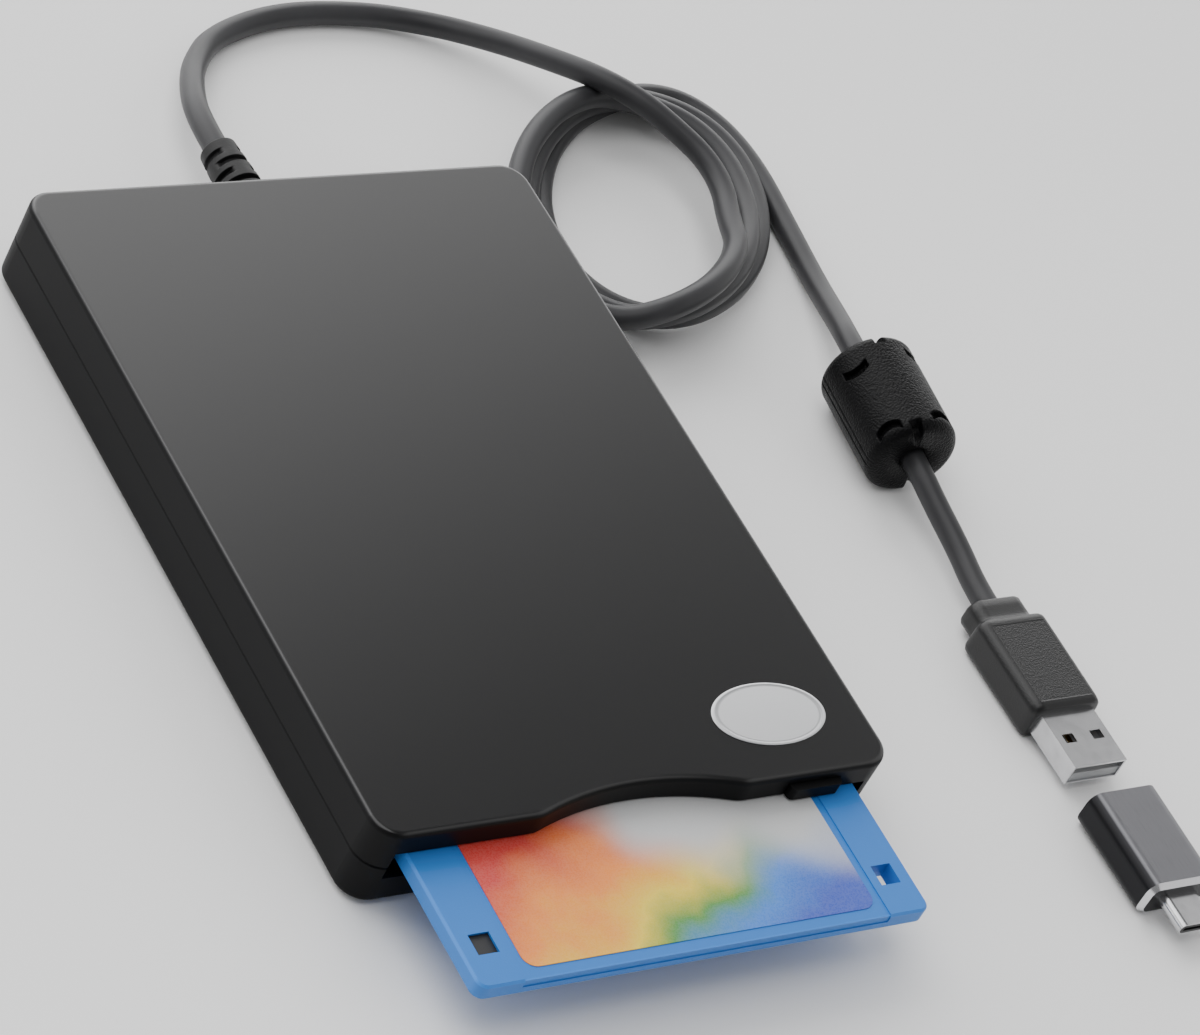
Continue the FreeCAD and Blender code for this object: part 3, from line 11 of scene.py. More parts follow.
import bpy
import numpy as np
from mathutils import Matrix
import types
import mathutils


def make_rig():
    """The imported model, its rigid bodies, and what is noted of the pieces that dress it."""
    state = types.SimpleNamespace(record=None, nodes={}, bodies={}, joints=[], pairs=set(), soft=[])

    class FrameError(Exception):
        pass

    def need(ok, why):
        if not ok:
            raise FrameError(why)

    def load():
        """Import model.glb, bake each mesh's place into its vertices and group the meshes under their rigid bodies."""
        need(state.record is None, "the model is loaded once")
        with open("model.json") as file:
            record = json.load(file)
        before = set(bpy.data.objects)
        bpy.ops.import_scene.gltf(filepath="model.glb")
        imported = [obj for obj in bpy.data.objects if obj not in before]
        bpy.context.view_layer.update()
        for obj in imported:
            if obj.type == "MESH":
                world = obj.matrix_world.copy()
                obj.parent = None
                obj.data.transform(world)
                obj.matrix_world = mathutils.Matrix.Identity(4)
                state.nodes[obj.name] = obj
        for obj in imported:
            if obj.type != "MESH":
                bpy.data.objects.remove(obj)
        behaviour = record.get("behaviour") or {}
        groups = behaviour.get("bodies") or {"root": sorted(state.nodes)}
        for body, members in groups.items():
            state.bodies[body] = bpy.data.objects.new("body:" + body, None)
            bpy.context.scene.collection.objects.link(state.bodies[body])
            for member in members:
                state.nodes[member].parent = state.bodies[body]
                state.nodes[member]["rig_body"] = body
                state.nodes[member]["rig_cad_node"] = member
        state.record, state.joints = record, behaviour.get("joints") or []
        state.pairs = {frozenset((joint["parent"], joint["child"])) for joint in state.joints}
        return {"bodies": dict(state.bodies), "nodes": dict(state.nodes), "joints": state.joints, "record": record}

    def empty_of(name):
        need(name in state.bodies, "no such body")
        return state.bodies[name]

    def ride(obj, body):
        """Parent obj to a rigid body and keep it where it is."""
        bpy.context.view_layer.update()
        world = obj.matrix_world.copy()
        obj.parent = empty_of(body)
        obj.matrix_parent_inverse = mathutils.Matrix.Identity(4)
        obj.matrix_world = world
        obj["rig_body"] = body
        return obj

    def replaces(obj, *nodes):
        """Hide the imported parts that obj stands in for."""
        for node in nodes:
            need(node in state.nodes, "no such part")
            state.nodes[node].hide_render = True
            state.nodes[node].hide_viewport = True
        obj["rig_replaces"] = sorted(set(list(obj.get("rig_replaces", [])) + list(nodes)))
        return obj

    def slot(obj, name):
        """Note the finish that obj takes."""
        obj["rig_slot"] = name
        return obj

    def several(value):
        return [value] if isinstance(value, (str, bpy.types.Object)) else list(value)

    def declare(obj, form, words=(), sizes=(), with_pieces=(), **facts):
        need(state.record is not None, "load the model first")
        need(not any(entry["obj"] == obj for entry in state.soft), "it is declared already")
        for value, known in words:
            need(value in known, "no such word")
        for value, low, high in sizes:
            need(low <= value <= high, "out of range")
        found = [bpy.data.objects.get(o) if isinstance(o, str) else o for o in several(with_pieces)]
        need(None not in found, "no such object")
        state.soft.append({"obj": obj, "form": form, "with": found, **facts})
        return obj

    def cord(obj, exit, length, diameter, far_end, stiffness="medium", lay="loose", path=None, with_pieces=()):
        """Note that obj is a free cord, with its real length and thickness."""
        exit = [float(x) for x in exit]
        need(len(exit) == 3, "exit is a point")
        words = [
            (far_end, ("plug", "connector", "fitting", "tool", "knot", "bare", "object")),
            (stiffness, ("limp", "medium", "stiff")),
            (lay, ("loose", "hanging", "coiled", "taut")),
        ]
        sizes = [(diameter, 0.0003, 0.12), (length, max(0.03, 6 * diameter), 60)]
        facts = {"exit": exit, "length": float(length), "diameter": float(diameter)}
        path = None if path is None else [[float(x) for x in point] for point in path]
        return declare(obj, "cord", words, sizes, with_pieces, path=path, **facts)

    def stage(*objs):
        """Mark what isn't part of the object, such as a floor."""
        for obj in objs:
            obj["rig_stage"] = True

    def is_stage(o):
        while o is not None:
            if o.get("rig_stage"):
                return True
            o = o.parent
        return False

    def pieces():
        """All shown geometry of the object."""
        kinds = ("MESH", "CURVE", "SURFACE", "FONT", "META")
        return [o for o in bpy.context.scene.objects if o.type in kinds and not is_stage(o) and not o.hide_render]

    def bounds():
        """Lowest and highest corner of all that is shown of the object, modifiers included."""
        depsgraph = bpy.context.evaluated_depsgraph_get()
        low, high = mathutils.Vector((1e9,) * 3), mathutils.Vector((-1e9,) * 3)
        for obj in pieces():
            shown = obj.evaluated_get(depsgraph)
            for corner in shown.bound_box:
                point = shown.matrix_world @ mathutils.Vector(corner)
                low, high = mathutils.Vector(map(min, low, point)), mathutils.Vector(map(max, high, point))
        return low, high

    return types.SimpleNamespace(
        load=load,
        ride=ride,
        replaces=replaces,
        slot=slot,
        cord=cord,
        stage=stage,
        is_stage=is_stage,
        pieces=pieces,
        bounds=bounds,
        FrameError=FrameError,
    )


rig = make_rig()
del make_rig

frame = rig.load()
CAD_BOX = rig.bounds()
NODES = frame["nodes"]
MM = 0.001

bl_info = {
    "name": "Floppy Drive Looks",
    "version": (1, 0, 0),
    "blender": (4, 5, 0),
    "location": "View3D > Sidebar > Floppy Drive",
    "description": "Finishes and detailed pieces for an external floppy disk drive",
    "category": "Object",
}


# ---- shader maths

class Link:
    """A socket in an expression; every operator adds one Math node."""

    def __init__(self, nodes, socket):
        self.nodes, self.socket = nodes, socket

    def math(self, operation, *others):
        return self.nodes.number(operation, self, *others)

    def __add__(self, other): return self.math("ADD", other)
    def __radd__(self, other): return self.math("ADD", other)
    def __mul__(self, other): return self.math("MULTIPLY", other)
    def __rmul__(self, other): return self.math("MULTIPLY", other)
    def __sub__(self, other): return self.math("SUBTRACT", other)
    def __rsub__(self, other): return self.nodes.number("SUBTRACT", other, self)
    def __truediv__(self, other): return self.math("DIVIDE", other)
    def __pow__(self, other): return self.math("POWER", other)
    def __abs__(self): return self.math("ABSOLUTE")

    def most(self, other):
        """The larger of the two."""
        return self.math("MAXIMUM", other)

    def rise(self, start, end):
        """0 below start, 1 above end and a smooth step between."""
        return self.nodes.ramp(self, (start, end), (0.0, 1.0))


class Nodes:
    """The nodes of a material or a world."""

    def __init__(self, owner):
        owner.use_nodes = True
        self.tree = owner.node_tree
        self.tree.nodes.clear()

    def node(self, kind, settings, inputs, out=0):
        """Add a node: its settings first, then the values or links of its sockets."""
        node = self.tree.nodes.new(kind)
        for name, value in settings.items():
            if name == "stops":
                self.fill_ramp(node.color_ramp, value)
            else:
                setattr(node, name, value)
        for key, value in inputs.items():
            self.feed(self.find(node.inputs, key), value)
        if not len(node.outputs):
            return None
        return Link(self, self.find(node.outputs, out))

    @staticmethod
    def fill_ramp(ramp, stops):
        """Give a colour ramp these (place, colour) stops."""
        while len(ramp.elements) < len(stops):
            ramp.elements.new(1.0)
        for element, (place, colour) in zip(ramp.elements, stops):
            element.position, element.color = place, (*colour, 1.0)

    @staticmethod
    def find(sockets, key):
        """A socket by its number, its identifier or its name."""
        if isinstance(key, int):
            return sockets[key]
        for socket in sockets:
            if socket.identifier == key:
                return socket
        return sockets[key]

    def feed(self, socket, value):
        """Link a socket, or set its constant."""
        if isinstance(value, Link):
            self.tree.links.new(value.socket, socket)
        elif socket.type == "RGBA" and len(value) == 3:
            socket.default_value = (*value, 1.0)
        else:
            socket.default_value = value

    def number(self, operation, *values):
        """A Math node on these values or links."""
        return self.node("ShaderNodeMath", {"operation": operation}, dict(enumerate(values)))

    def ramp(self, value, start, result):
        """A smooth step between two results, over the values between two starts."""
        ends = zip(("From Min", "From Max", "To Min", "To Max"), start + result)
        return self.node("ShaderNodeMapRange", {"interpolation_type": "SMOOTHSTEP"},
                         {"Value": value, **dict(ends)})


class Finish(Nodes):
    """One material, with a Principled shader on its output."""

    def __init__(self, name, colour, roughness, **constants):
        self.material = bpy.data.materials.new(name)
        super().__init__(self.material)
        self.shader = self.node("ShaderNodeBsdfPrincipled", {}, {})
        self.node("ShaderNodeOutputMaterial", {}, {"Surface": self.shader})
        self.set(Base_Color=colour, Roughness=roughness, **constants)

    def set(self, **sockets):
        """Feed the shader's own sockets; an underscore in a name stands for a space."""
        for name, value in sockets.items():
            self.feed(self.shader.socket.node.inputs[name.replace("_", " ")], value)

    # ---- places and patterns

    def place(self, scale=1.0, offset=(0.0, 0.0, 0.0)):
        """Object coordinates in millimetres, multiplied by scale and then moved by offset."""
        coordinates = self.node("ShaderNodeTexCoord", {}, {}, out="Object")
        factors = scale if isinstance(scale, tuple) else (scale,) * 3
        return self.node("ShaderNodeMapping", {}, {
            "Vector": coordinates, "Location": offset,
            "Scale": tuple(each / MM for each in factors)})

    def axes(self, vector):
        """The three parts of a vector."""
        parts = self.node("ShaderNodeSeparateXYZ", {}, {"Vector": vector})
        return tuple(Link(self, socket) for socket in parts.socket.node.outputs)

    def normal(self):
        """The three parts of the surface's own direction."""
        return self.axes(self.node("ShaderNodeNewGeometry", {}, {}, out="Normal"))

    def noise(self, vector, scale=1.0, detail=2.0, rough=0.5, warp=0.0):
        """Soft cloudy values from 0 to 1."""
        return self.node("ShaderNodeTexNoise", {}, {
            "Vector": vector, "Scale": scale, "Detail": detail, "Roughness": rough,
            "Distortion": warp})

    def cells(self, vector, scale=1.0, feature="F1", spread=1.0):
        """Distance to the nearest of scattered points, or to the border between two."""
        return self.node("ShaderNodeTexVoronoi", {"feature": feature}, {
            "Vector": vector, "Scale": scale, "Randomness": spread})

    def mix(self, amount, first, second):
        """A colour between first and second."""
        return self.node("ShaderNodeMix", {"data_type": "RGBA"}, {
            "Factor_Float": amount, "A_Color": first, "B_Color": second}, out="Result_Color")

    def bump(self, height, distance, strength=1.0, under=None):
        """A normal tilted by a height of distance millimetres; under is the one below it."""
        inputs = {"Height": height, "Distance": distance * MM, "Strength": strength}
        if under is not None:
            inputs["Normal"] = under
        return self.node("ShaderNodeBump", {}, inputs)


def rgb(red, green, blue):
    """Linear colour of a screen colour with parts from 0 to 255."""
    parts = np.array((red, green, blue)) / 255.0
    return tuple(float(x) for x in np.where(
        parts <= 0.04045, parts / 12.92, ((parts + 0.055) / 1.055) ** 2.4))


def shade(colour, factor):
    """The colour made lighter or darker."""
    return tuple(factor * part for part in colour)


def plain(name, colour, low, swing, scale, detail=3.0, rough=0.5, relief=0.0, **constants):
    """Plastic and the like: its roughness wanders from low up to low plus swing."""
    finish = Finish(name, colour, low, **constants)
    fine = finish.noise(finish.place(), scale, detail, rough)
    finish.set(Roughness=low + swing * fine)
    if relief:
        finish.set(Normal=finish.bump(fine, relief))
    return finish


# ---- surfaces

def surface(name, points, wrap=True, caps=True):
    """Object with a mesh from a grid of points, rows by columns, in millimetres.

    Each point is joined in quads to the next in its row and to the row after; wrap
    joins a row's last point to its first, and caps close the first and last rows.
    """
    rows, columns = points.shape[:2]
    index = np.arange(rows * columns).reshape(rows, columns)
    after = np.roll(index, -1, axis=1)
    keep = slice(None) if wrap else slice(0, columns - 1)
    quads = np.stack([index[:-1, keep], after[:-1, keep], after[1:, keep], index[1:, keep]],
                     axis=-1).reshape(-1, 4)
    faces = quads.tolist()
    if caps:
        faces += [index[0, ::-1].tolist(), index[-1].tolist()]
    mesh = bpy.data.meshes.new(name)
    mesh.from_pydata((points.reshape(-1, 3) * MM).tolist(), [], faces)
    mesh.polygons.foreach_set("use_smooth", np.ones(len(faces), bool))
    item = bpy.data.objects.new(name, mesh)
    bpy.context.scene.collection.objects.link(item)
    return item


def angles(count):
    """Angles round a full turn, the last one short of closing it."""
    return np.linspace(0.0, 2.0 * math.pi, count, endpoint=False)


def step(value, width):
    """0 below zero, 1 above width, smooth between."""
    share = np.clip(value / width, 0.0, 1.0)
    return share * share * (3.0 - 2.0 * share)


def rounded_box(width, height, corner, count):
    """Points round a rectangle with round corners, in its plane.

    Each corner takes a quarter of the points: its centre plus the corner radius
    times the cosine and sine of an angle that runs over that quarter turn.
    """
    turn = np.concatenate([np.linspace(q, q + 1, count // 4) for q in range(4)]) * math.pi / 2
    quarter = np.repeat(np.arange(4), count // 4)
    across = np.array([1, -1, -1, 1])[quarter] * (width / 2 - corner)
    up = np.array([1, 1, -1, -1])[quarter] * (height / 2 - corner)
    return np.stack([across + corner * np.cos(turn), up + corner * np.sin(turn)], axis=-1)


def turned(profile, count, centre=(0.0, 0.0, 0.0)):
    """A profile of (distance along, radius) turned about an axis that points to -Y.

    A point is the centre, plus the axis times its distance along, plus its radius
    times the cosine of the angle across and the sine of it upwards.
    """
    along, radius = profile[:, 0][:, None], profile[:, 1][:, None]
    angle = angles(count)[None, :]
    return np.stack([centre[0] - radius * np.cos(angle), centre[1] - along + 0.0 * angle,
                     centre[2] + radius * np.sin(angle)], axis=-1)


# ---- sizes, colours

def colour(name, description, default):
    """A colour that a user may change."""
    return bpy.props.FloatVectorProperty(name=name, description=description, size=3,
                                         subtype="COLOR", min=0.0, max=1.0, default=default)


def amount(name, description, default, high=1.0, **more):
    """A number that a user may change."""
    return bpy.props.FloatProperty(name=name, description=description, min=0.0, max=high,
                                   default=default, **more)


class CaseSettings(bpy.types.PropertyGroup):
    """The drive's case."""
    black: colour("Case black", "Colour of the moulded case", rgb(15, 15, 16))
    gloss: amount("Top roughness", "Roughness of the polished top", 0.24)
    grain: amount("Side grain", "Height of the fine grain on the sides, in millimetres", 0.012)
    badge: colour("Badge", "Colour of the oval badge", rgb(214, 215, 217))


class CordSettings(bpy.types.PropertyGroup):
    """The cord, its choke and the parts on its end."""
    diameter: amount("Cord diameter", "Outside diameter of the cord", 4.6 * MM,
                     unit="LENGTH", precision=5)
    grey: colour("Cord grey", "Colour of the cord's jacket", rgb(46, 46, 48))
    rubber: colour("Rubber", "Colour of the strain relief, choke and plug grip",
                   rgb(15, 15, 16))


class DiskSettings(bpy.types.PropertyGroup):
    """The floppy disk."""
    blue: colour("Disk blue", "Colour of the disk's shell", rgb(40, 116, 198))
    steel: colour("Shutter", "Colour of the disk's sliding shutter", rgb(168, 170, 174))


class StageSettings(bpy.types.PropertyGroup):
    """The floor, the light and the camera."""
    floor: colour("Floor", "Colour of the floor", rgb(250, 250, 250))
    key: amount("Key light", "Power that the soft boxes share out", 4.0, 100.0, unit="POWER")
    sky: amount("Sky", "Strength of the even light from all round", 0.9, 10.0)
    lens: amount("Lens", "Focal length of the camera", 150.36, 500.0, unit="CAMERA")


SETTINGS = {"floppy_case": CaseSettings, "floppy_cord": CordSettings,
            "floppy_disk": DiskSettings, "floppy_stage": StageSettings}


class Maker:
    """What the operators share: settings, finishes for CAD nodes and for new pieces."""
    bl_options = {"REGISTER", "UNDO"}

    def execute(self, context):
        scene = context.scene
        self.case, self.cord = scene.floppy_case, scene.floppy_cord
        self.disk, self.stage = scene.floppy_disk, scene.floppy_stage
        self.make(context)
        return {"FINISHED"}

    def cover(self, finish, *names):
        """Give CAD nodes a finish."""
        for name in names:
            mesh = NODES[name].data
            mesh.materials.clear()
            mesh.materials.append(finish.material)

    def place(self, item, finish, *nodes, slot=None):
        """Give a new piece on the case its finish and the nodes that it stands for."""
        item.data.materials.append(finish.material)
        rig.ride(item, "case")
        if nodes:
            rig.replaces(item, *nodes)
        if slot:
            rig.slot(item, slot)


# ---- stage

class FLOPPY_OT_stage(Maker, bpy.types.Operator):
    """Pale floor, soft light and the camera"""
    bl_idname = "floppy.stage"
    bl_label = "Stage"

    FLOOR_Z, FLOOR_REACH = -0.7, 3000.0
    # the sky's parts: direction, nearness where the light starts and is full, its strengths
    SKY = (((-0.1, 1.0, -0.12), (0.352, 0.50), (0.20, 4.3)),
           ((1.0, -0.3, 0.0), (0.505, 0.545), (0.0, 1.1)))
    # name, place in metres, width in metres, share of the key light's power
    BOXES = (("overhead", (-0.25, 0.1, 0.9), 0.9, 1.35),
             ("left", (-0.9, -0.5, 0.45), 0.8, 0.35),
             ("behind", (-0.1, 1.0, 0.6), 0.7, 0.4))
    # the camera's place in millimetres, and its right, down and ahead
    CAMERA, RIGHT, DOWN, AHEAD = np.array((
        (-473.93, -436.66, 551.84), (0.80357449, -0.45064867, 0.38882363),
        (-0.09037833, -0.73806993, -0.66864381), (0.58830247, 0.50216388, -0.63382304)))

    def make(self, context):
        self.make_floor()
        self.make_sky(context)
        self.make_lights(context)
        self.make_camera(context)

    def make_floor(self):
        """A flat grid: x and y are the two parameters, z is the feet's height."""
        span = np.linspace(-self.FLOOR_REACH, self.FLOOR_REACH, 3)
        x, y = np.meshgrid(span, span)
        floor = surface("floor", np.stack([x, y, 0 * x + self.FLOOR_Z], axis=-1),
                        wrap=False, caps=False)
        pale = Finish("floor_pale", self.stage.floor, 0.7, Specular_IOR_Level=0.1)
        floor.data.materials.append(pale.material)
        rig.stage(floor)

    def make_sky(self, context):
        """White light from all round, stronger from behind the drive and from its right.

        Each part's strength is a smooth step of how near a direction is to the part's own.
        """
        world = bpy.data.worlds.new("studio")
        sky = Nodes(world)
        direction = sky.node("ShaderNodeTexCoord", {}, {}, out="Generated")
        parts = []
        for toward, start, strength in self.SKY:
            lean = sky.node("ShaderNodeVectorMath", {"operation": "DOT_PRODUCT"},
                            {0: direction, 1: toward}, out="Value")
            parts.append(sky.ramp(lean, start, strength))
        light = (parts[0] + parts[1]) * self.stage.sky
        background = sky.node("ShaderNodeBackground", {}, {"Strength": light})
        sky.node("ShaderNodeOutputWorld", {}, {"Surface": background})
        context.scene.world = world

    def make_lights(self, context):
        """Soft boxes: one overhead, one at the left front and one behind."""
        for name, spot, size, share in self.BOXES:
            data = bpy.data.lights.new(name, "AREA")
            data.shape, data.size, data.energy = "SQUARE", size, self.stage.key * share
            lamp = bpy.data.objects.new(name, data)
            context.scene.collection.objects.link(lamp)
            back = np.array(spot) / np.linalg.norm(spot)
            right = np.cross((0.0, 0.0, 1.0), back)
            right /= np.linalg.norm(right)
            lamp.matrix_world = self.placing(right, np.cross(back, right), back, spot)

    @staticmethod
    def placing(right, up, back, spot):
        """A placing at spot, with these three directions for its axes."""
        turn = np.eye(4)
        turn[:3] = np.column_stack([right, up, back, spot])
        return Matrix(turn.tolist())

    def make_camera(self, context):
        """A long lens high at the left front, rolled a little."""
        data = bpy.data.cameras.new("camera")
        data.sensor_width, data.lens, data.clip_start = 36.0, self.stage.lens, 0.01
        camera = bpy.data.objects.new("camera", data)
        context.scene.collection.objects.link(camera)
        camera.matrix_world = self.placing(self.RIGHT, -self.DOWN, -self.AHEAD, self.CAMERA * MM)
        context.scene.camera = camera


# ---- cord

class FLOPPY_OT_cord(Maker, bpy.types.Operator):
    """The cord: out of the case, three loose turns, and on to the plug"""
    bl_idname = "floppy.cord"
    bl_label = "Cord"

    LEAD = np.array([
        (-2.0, 85.8, 8.3), (-2.0, 94.0, 8.3), (1.5, 102.5, 6.4), (7.5, 112.0, 3.2),
        (16.5, 121.0, 1.6), (33.0, 126.3, 1.6), (51.0, 125.8, 1.7), (65.5, 121.2, 2.4),
        (74.6, 112.6, 5.6), (80.2, 102.4, 10.0), (85.0, 94.2, 13.0), (90.8, 87.6, 13.0),
        (95.8, 81.6, 11.4), (99.9, 75.5, 9.9), (100.4, 68.2, 9.0), (97.3, 60.6, 8.8)])
    TAIL = np.array([
        (104.3, 100.8, 1.6), (110.9, 98.6, 1.6), (115.2, 93.6, 1.6), (117.6, 87.0, 1.6),
        (118.3, 77.5, 1.6), (116.6, 63.0, 1.6), (114.2, 47.8, 2.2), (110.4, 36.4, 5.4),
        (106.7, 27.4, 8.3), (103.6, -3.0, 8.3), (104.2, -10.0, 6.3), (104.9, -19.0, 4.4),
        (104.1, -27.5, 3.4), (104.0, -32.5, 3.4)])
    LENGTH = 0.782
    # the turns between them: points in a turn, the first point's number and how many
    PER_TURN, FIRST, COUNT = 14, 3, 38
    MIDDLE, DRIFT = np.array([75.3, 65.2]), np.array([5.4, 2.4])
    LONG, SHORT = 33.2, 22.4
    TILT, START = 45.0, -8.0
    # thickness of a turn on the next, the least rise, the lowest point, turns off the floor
    STACK, RISE, LOW, LIFTED = 4.2, 2.4, 1.6, 2.6
    BESIDE = 54.2       # nearest that the cord's middle comes to the case's side

    def coil(self):
        """Loose turns: points of an ellipse whose centre drifts as the turns go on.

        At turn k the point is the middle plus k times the drift, plus the ellipse's
        long and short radii times the cosine and sine of an angle that falls with k.
        The height falls with k by a turn's thickness, less where the drift already
        moves a turn sideways off the one below it.  Points are kept off the case's side.
        """
        turn = (self.FIRST + np.arange(self.COUNT)) / self.PER_TURN
        angle = math.radians(self.START) - 2.0 * math.pi * turn
        tilt = math.radians(self.TILT)
        axes = np.array([(math.cos(tilt), math.sin(tilt)), (-math.sin(tilt), math.cos(tilt))])
        cos, sin = np.cos(angle), np.sin(angle)
        spot = (self.MIDDLE + turn[:, None] * self.DRIFT
                + np.stack([self.LONG * cos, self.SHORT * sin], axis=-1) @ axes)
        outward = np.stack([cos / self.LONG, sin / self.SHORT], axis=-1) @ axes
        outward /= np.linalg.norm(outward, axis=1)[:, None]
        aside = outward @ self.DRIFT
        rise = np.sqrt(np.maximum(self.STACK ** 2 - aside ** 2, self.RISE ** 2))
        height = self.LOW + np.maximum(0.0, self.LIFTED - turn) * rise
        spot[:, 0] = np.maximum(spot[:, 0], self.BESIDE)
        return np.column_stack([spot, height])

    def make(self, context):
        """One round spline through the lead's, the turns' and the tail's points."""
        route = np.concatenate([self.LEAD, self.coil(), self.TAIL]) * MM
        data = bpy.data.curves.new("cord", "CURVE")
        data.dimensions = "3D"
        data.bevel_depth = self.cord.diameter / 2
        data.bevel_resolution = 6
        data.resolution_u = 10
        data.use_fill_caps = True
        spline = data.splines.new("NURBS")
        spline.points.add(len(route) - 1)
        spline.points.foreach_set("co", np.column_stack([route, np.ones(len(route))]).ravel())
        spline.order_u = 3
        spline.use_endpoint_u = True
        cord = bpy.data.objects.new("cord", data)
        context.scene.collection.objects.link(cord)
        self.place(cord, self.jacket(), "cord_lead", "cord_coil", "cord_tail",
                   slot="cord_grey")

    def jacket(self):
        """Soft grey jacket with a fine matt grain and faint handling marks."""
        grey = self.cord.grey
        finish = Finish("cord_jacket", grey, 0.42, Specular_IOR_Level=0.35, Coat_Weight=0.05,
                        Coat_Roughness=0.35)
        spot = finish.place()
        fine = finish.noise(spot, 6.0, 3.0, 0.6)
        broad = finish.noise(spot, 0.12, 2.0)
        finish.set(Base_Color=finish.mix(broad.rise(0.3, 0.7), grey, shade(grey, 1.25)),
                   Roughness=0.36 + 0.1 * broad + 0.08 * fine,
                   Normal=finish.bump(fine, 0.02, 0.5))
        return finish


# ---- moulded rubber

def rubber(name, colour, grain_height, cell, roughness=0.5):
    """Black rubber or vinyl with a pebbled grain and paler worn high spots."""
    finish = Finish(name, colour, roughness, Specular_IOR_Level=0.35)
    spot = finish.place()
    pebbles = finish.cells(spot, cell, "SMOOTH_F1")
    fine = finish.noise(spot, 5.0, 3.0, 0.6)
    worn = finish.noise(spot, 0.25, 3.0).rise(0.45, 0.75)
    height = (1.0 - pebbles.rise(0.0, 0.9)) + 0.25 * fine
    finish.set(Base_Color=finish.mix(0.5 * worn, colour, shade(colour, 1.5)),
               Roughness=roughness - 0.1 * worn + 0.1 * fine,
               Normal=finish.bump(height, grain_height, 0.7))
    return finish


class FLOPPY_OT_strain_relief(Maker, bpy.types.Operator):
    """The ribbed rubber boot where the cord leaves the case"""
    bl_idname = "floppy.strain_relief"
    bl_label = "Strain Relief"

    X, Z = -2.0, 8.3                    # the cord's way out of the case
    ROOT, TIP, CORE = 4.4, 3.4, 2.85    # radii; the core's is in the grooves
    BACK, END, RINGS = 70.85, 85.8, 5
    PITCH, LEDGE = 2.5, 1.3             # between grooves, and before the first one
    HALF_GROOVE, EDGE = 0.72, 0.22
    MID_GROOVE = 0.26                   # where a groove's middle is, as a share of the pitch
    ROUND = 0.5
    BRIDGE_FROM, BRIDGE_OVER = 0.78, 0.12
    # distance along Y and width of the neck's squares
    NECK = ((67.2, 8.4), (67.2, 8.8), (69.1, 8.8), (69.15, 6.2), (70.85, 6.2), (70.85, 6.0))

    def make(self, context):
        """Turned boot: its radius tapers from root to tip and dips between the rings.

        The radius at a distance is the taper, lowered to the core inside each groove by
        a smooth step at the groove's two edges; both ends are rounded.
        """
        along = np.linspace(self.BACK, self.END, 260)
        taper = self.taper(along)
        phase = (along - self.BACK - self.LEDGE) / self.PITCH
        within = np.abs(phase - np.floor(phase) - self.MID_GROOVE) * self.PITCH
        groove = step(self.HALF_GROOVE - within, self.EDGE)
        groove[(phase < 0) | (phase > self.RINGS)] = 0.0
        radius = taper - (taper - self.CORE) * groove
        ends = np.minimum(along - self.BACK + 0.05, self.END - along)
        short = 1.0 - np.clip(ends / self.ROUND, 0.0, 1.0)
        radius -= self.ROUND * (1.0 - np.sqrt(1.0 - short ** 2))
        boot = turned(np.column_stack([-along, radius]), 72, centre=(self.X, 0.0, self.Z))
        self.bridge(boot, along)
        black = self.cord.rubber
        self.place(surface("strain_relief_boot", boot), rubber("boot_rubber", black, 0.02, 2.5))
        self.place(self.neck(), rubber("neck_rubber", black, 0.02, 2.5), "strain_relief",
                   slot="rubber_black")

    def taper(self, along):
        """The boot's outer radius at each distance: straight from root to tip."""
        share = (along - self.BACK) / (self.END - self.BACK)
        return self.ROOT + (self.TIP - self.ROOT) * share

    def bridge(self, boot, along):
        """Fill every groove on two opposite sides, turned a quarter from groove to groove.

        There the point goes out to the taper: the share is a smooth step of how near the
        point's direction is to the bridge's.
        """
        number = np.floor((along - self.BACK - self.LEDGE) / self.PITCH)[:, None]
        x, z = boot[:, :, 0] - self.X, boot[:, :, 2] - self.Z
        radius = np.hypot(x, z)
        toward = np.where(number % 2 == 0, np.abs(z), np.abs(x)) / radius
        share = step(toward - self.BRIDGE_FROM, self.BRIDGE_OVER)
        lift = share * np.maximum(self.taper(along)[:, None] - radius, 0.0)
        lift[((number < 0) | (number >= self.RINGS))[:, 0]] = 0.0
        lift[(along > self.END - 0.6) | (along < self.BACK + 0.6)] = 0.0
        grown = radius + lift
        boot[:, :, 0] = x / radius * grown + self.X
        boot[:, :, 2] = z / radius * grown + self.Z

    def neck(self):
        """Square neck in the wall and the flange behind it: a rounded square carried along Y."""
        rows = []
        for y, width in self.NECK:
            square = rounded_box(width, width, 0.8, 48)
            rows.append(np.column_stack([self.X - square[:, 0], np.full(len(square), y),
                                         self.Z + square[:, 1]]))
        return surface("strain_relief_neck", np.stack(rows)[::-1])


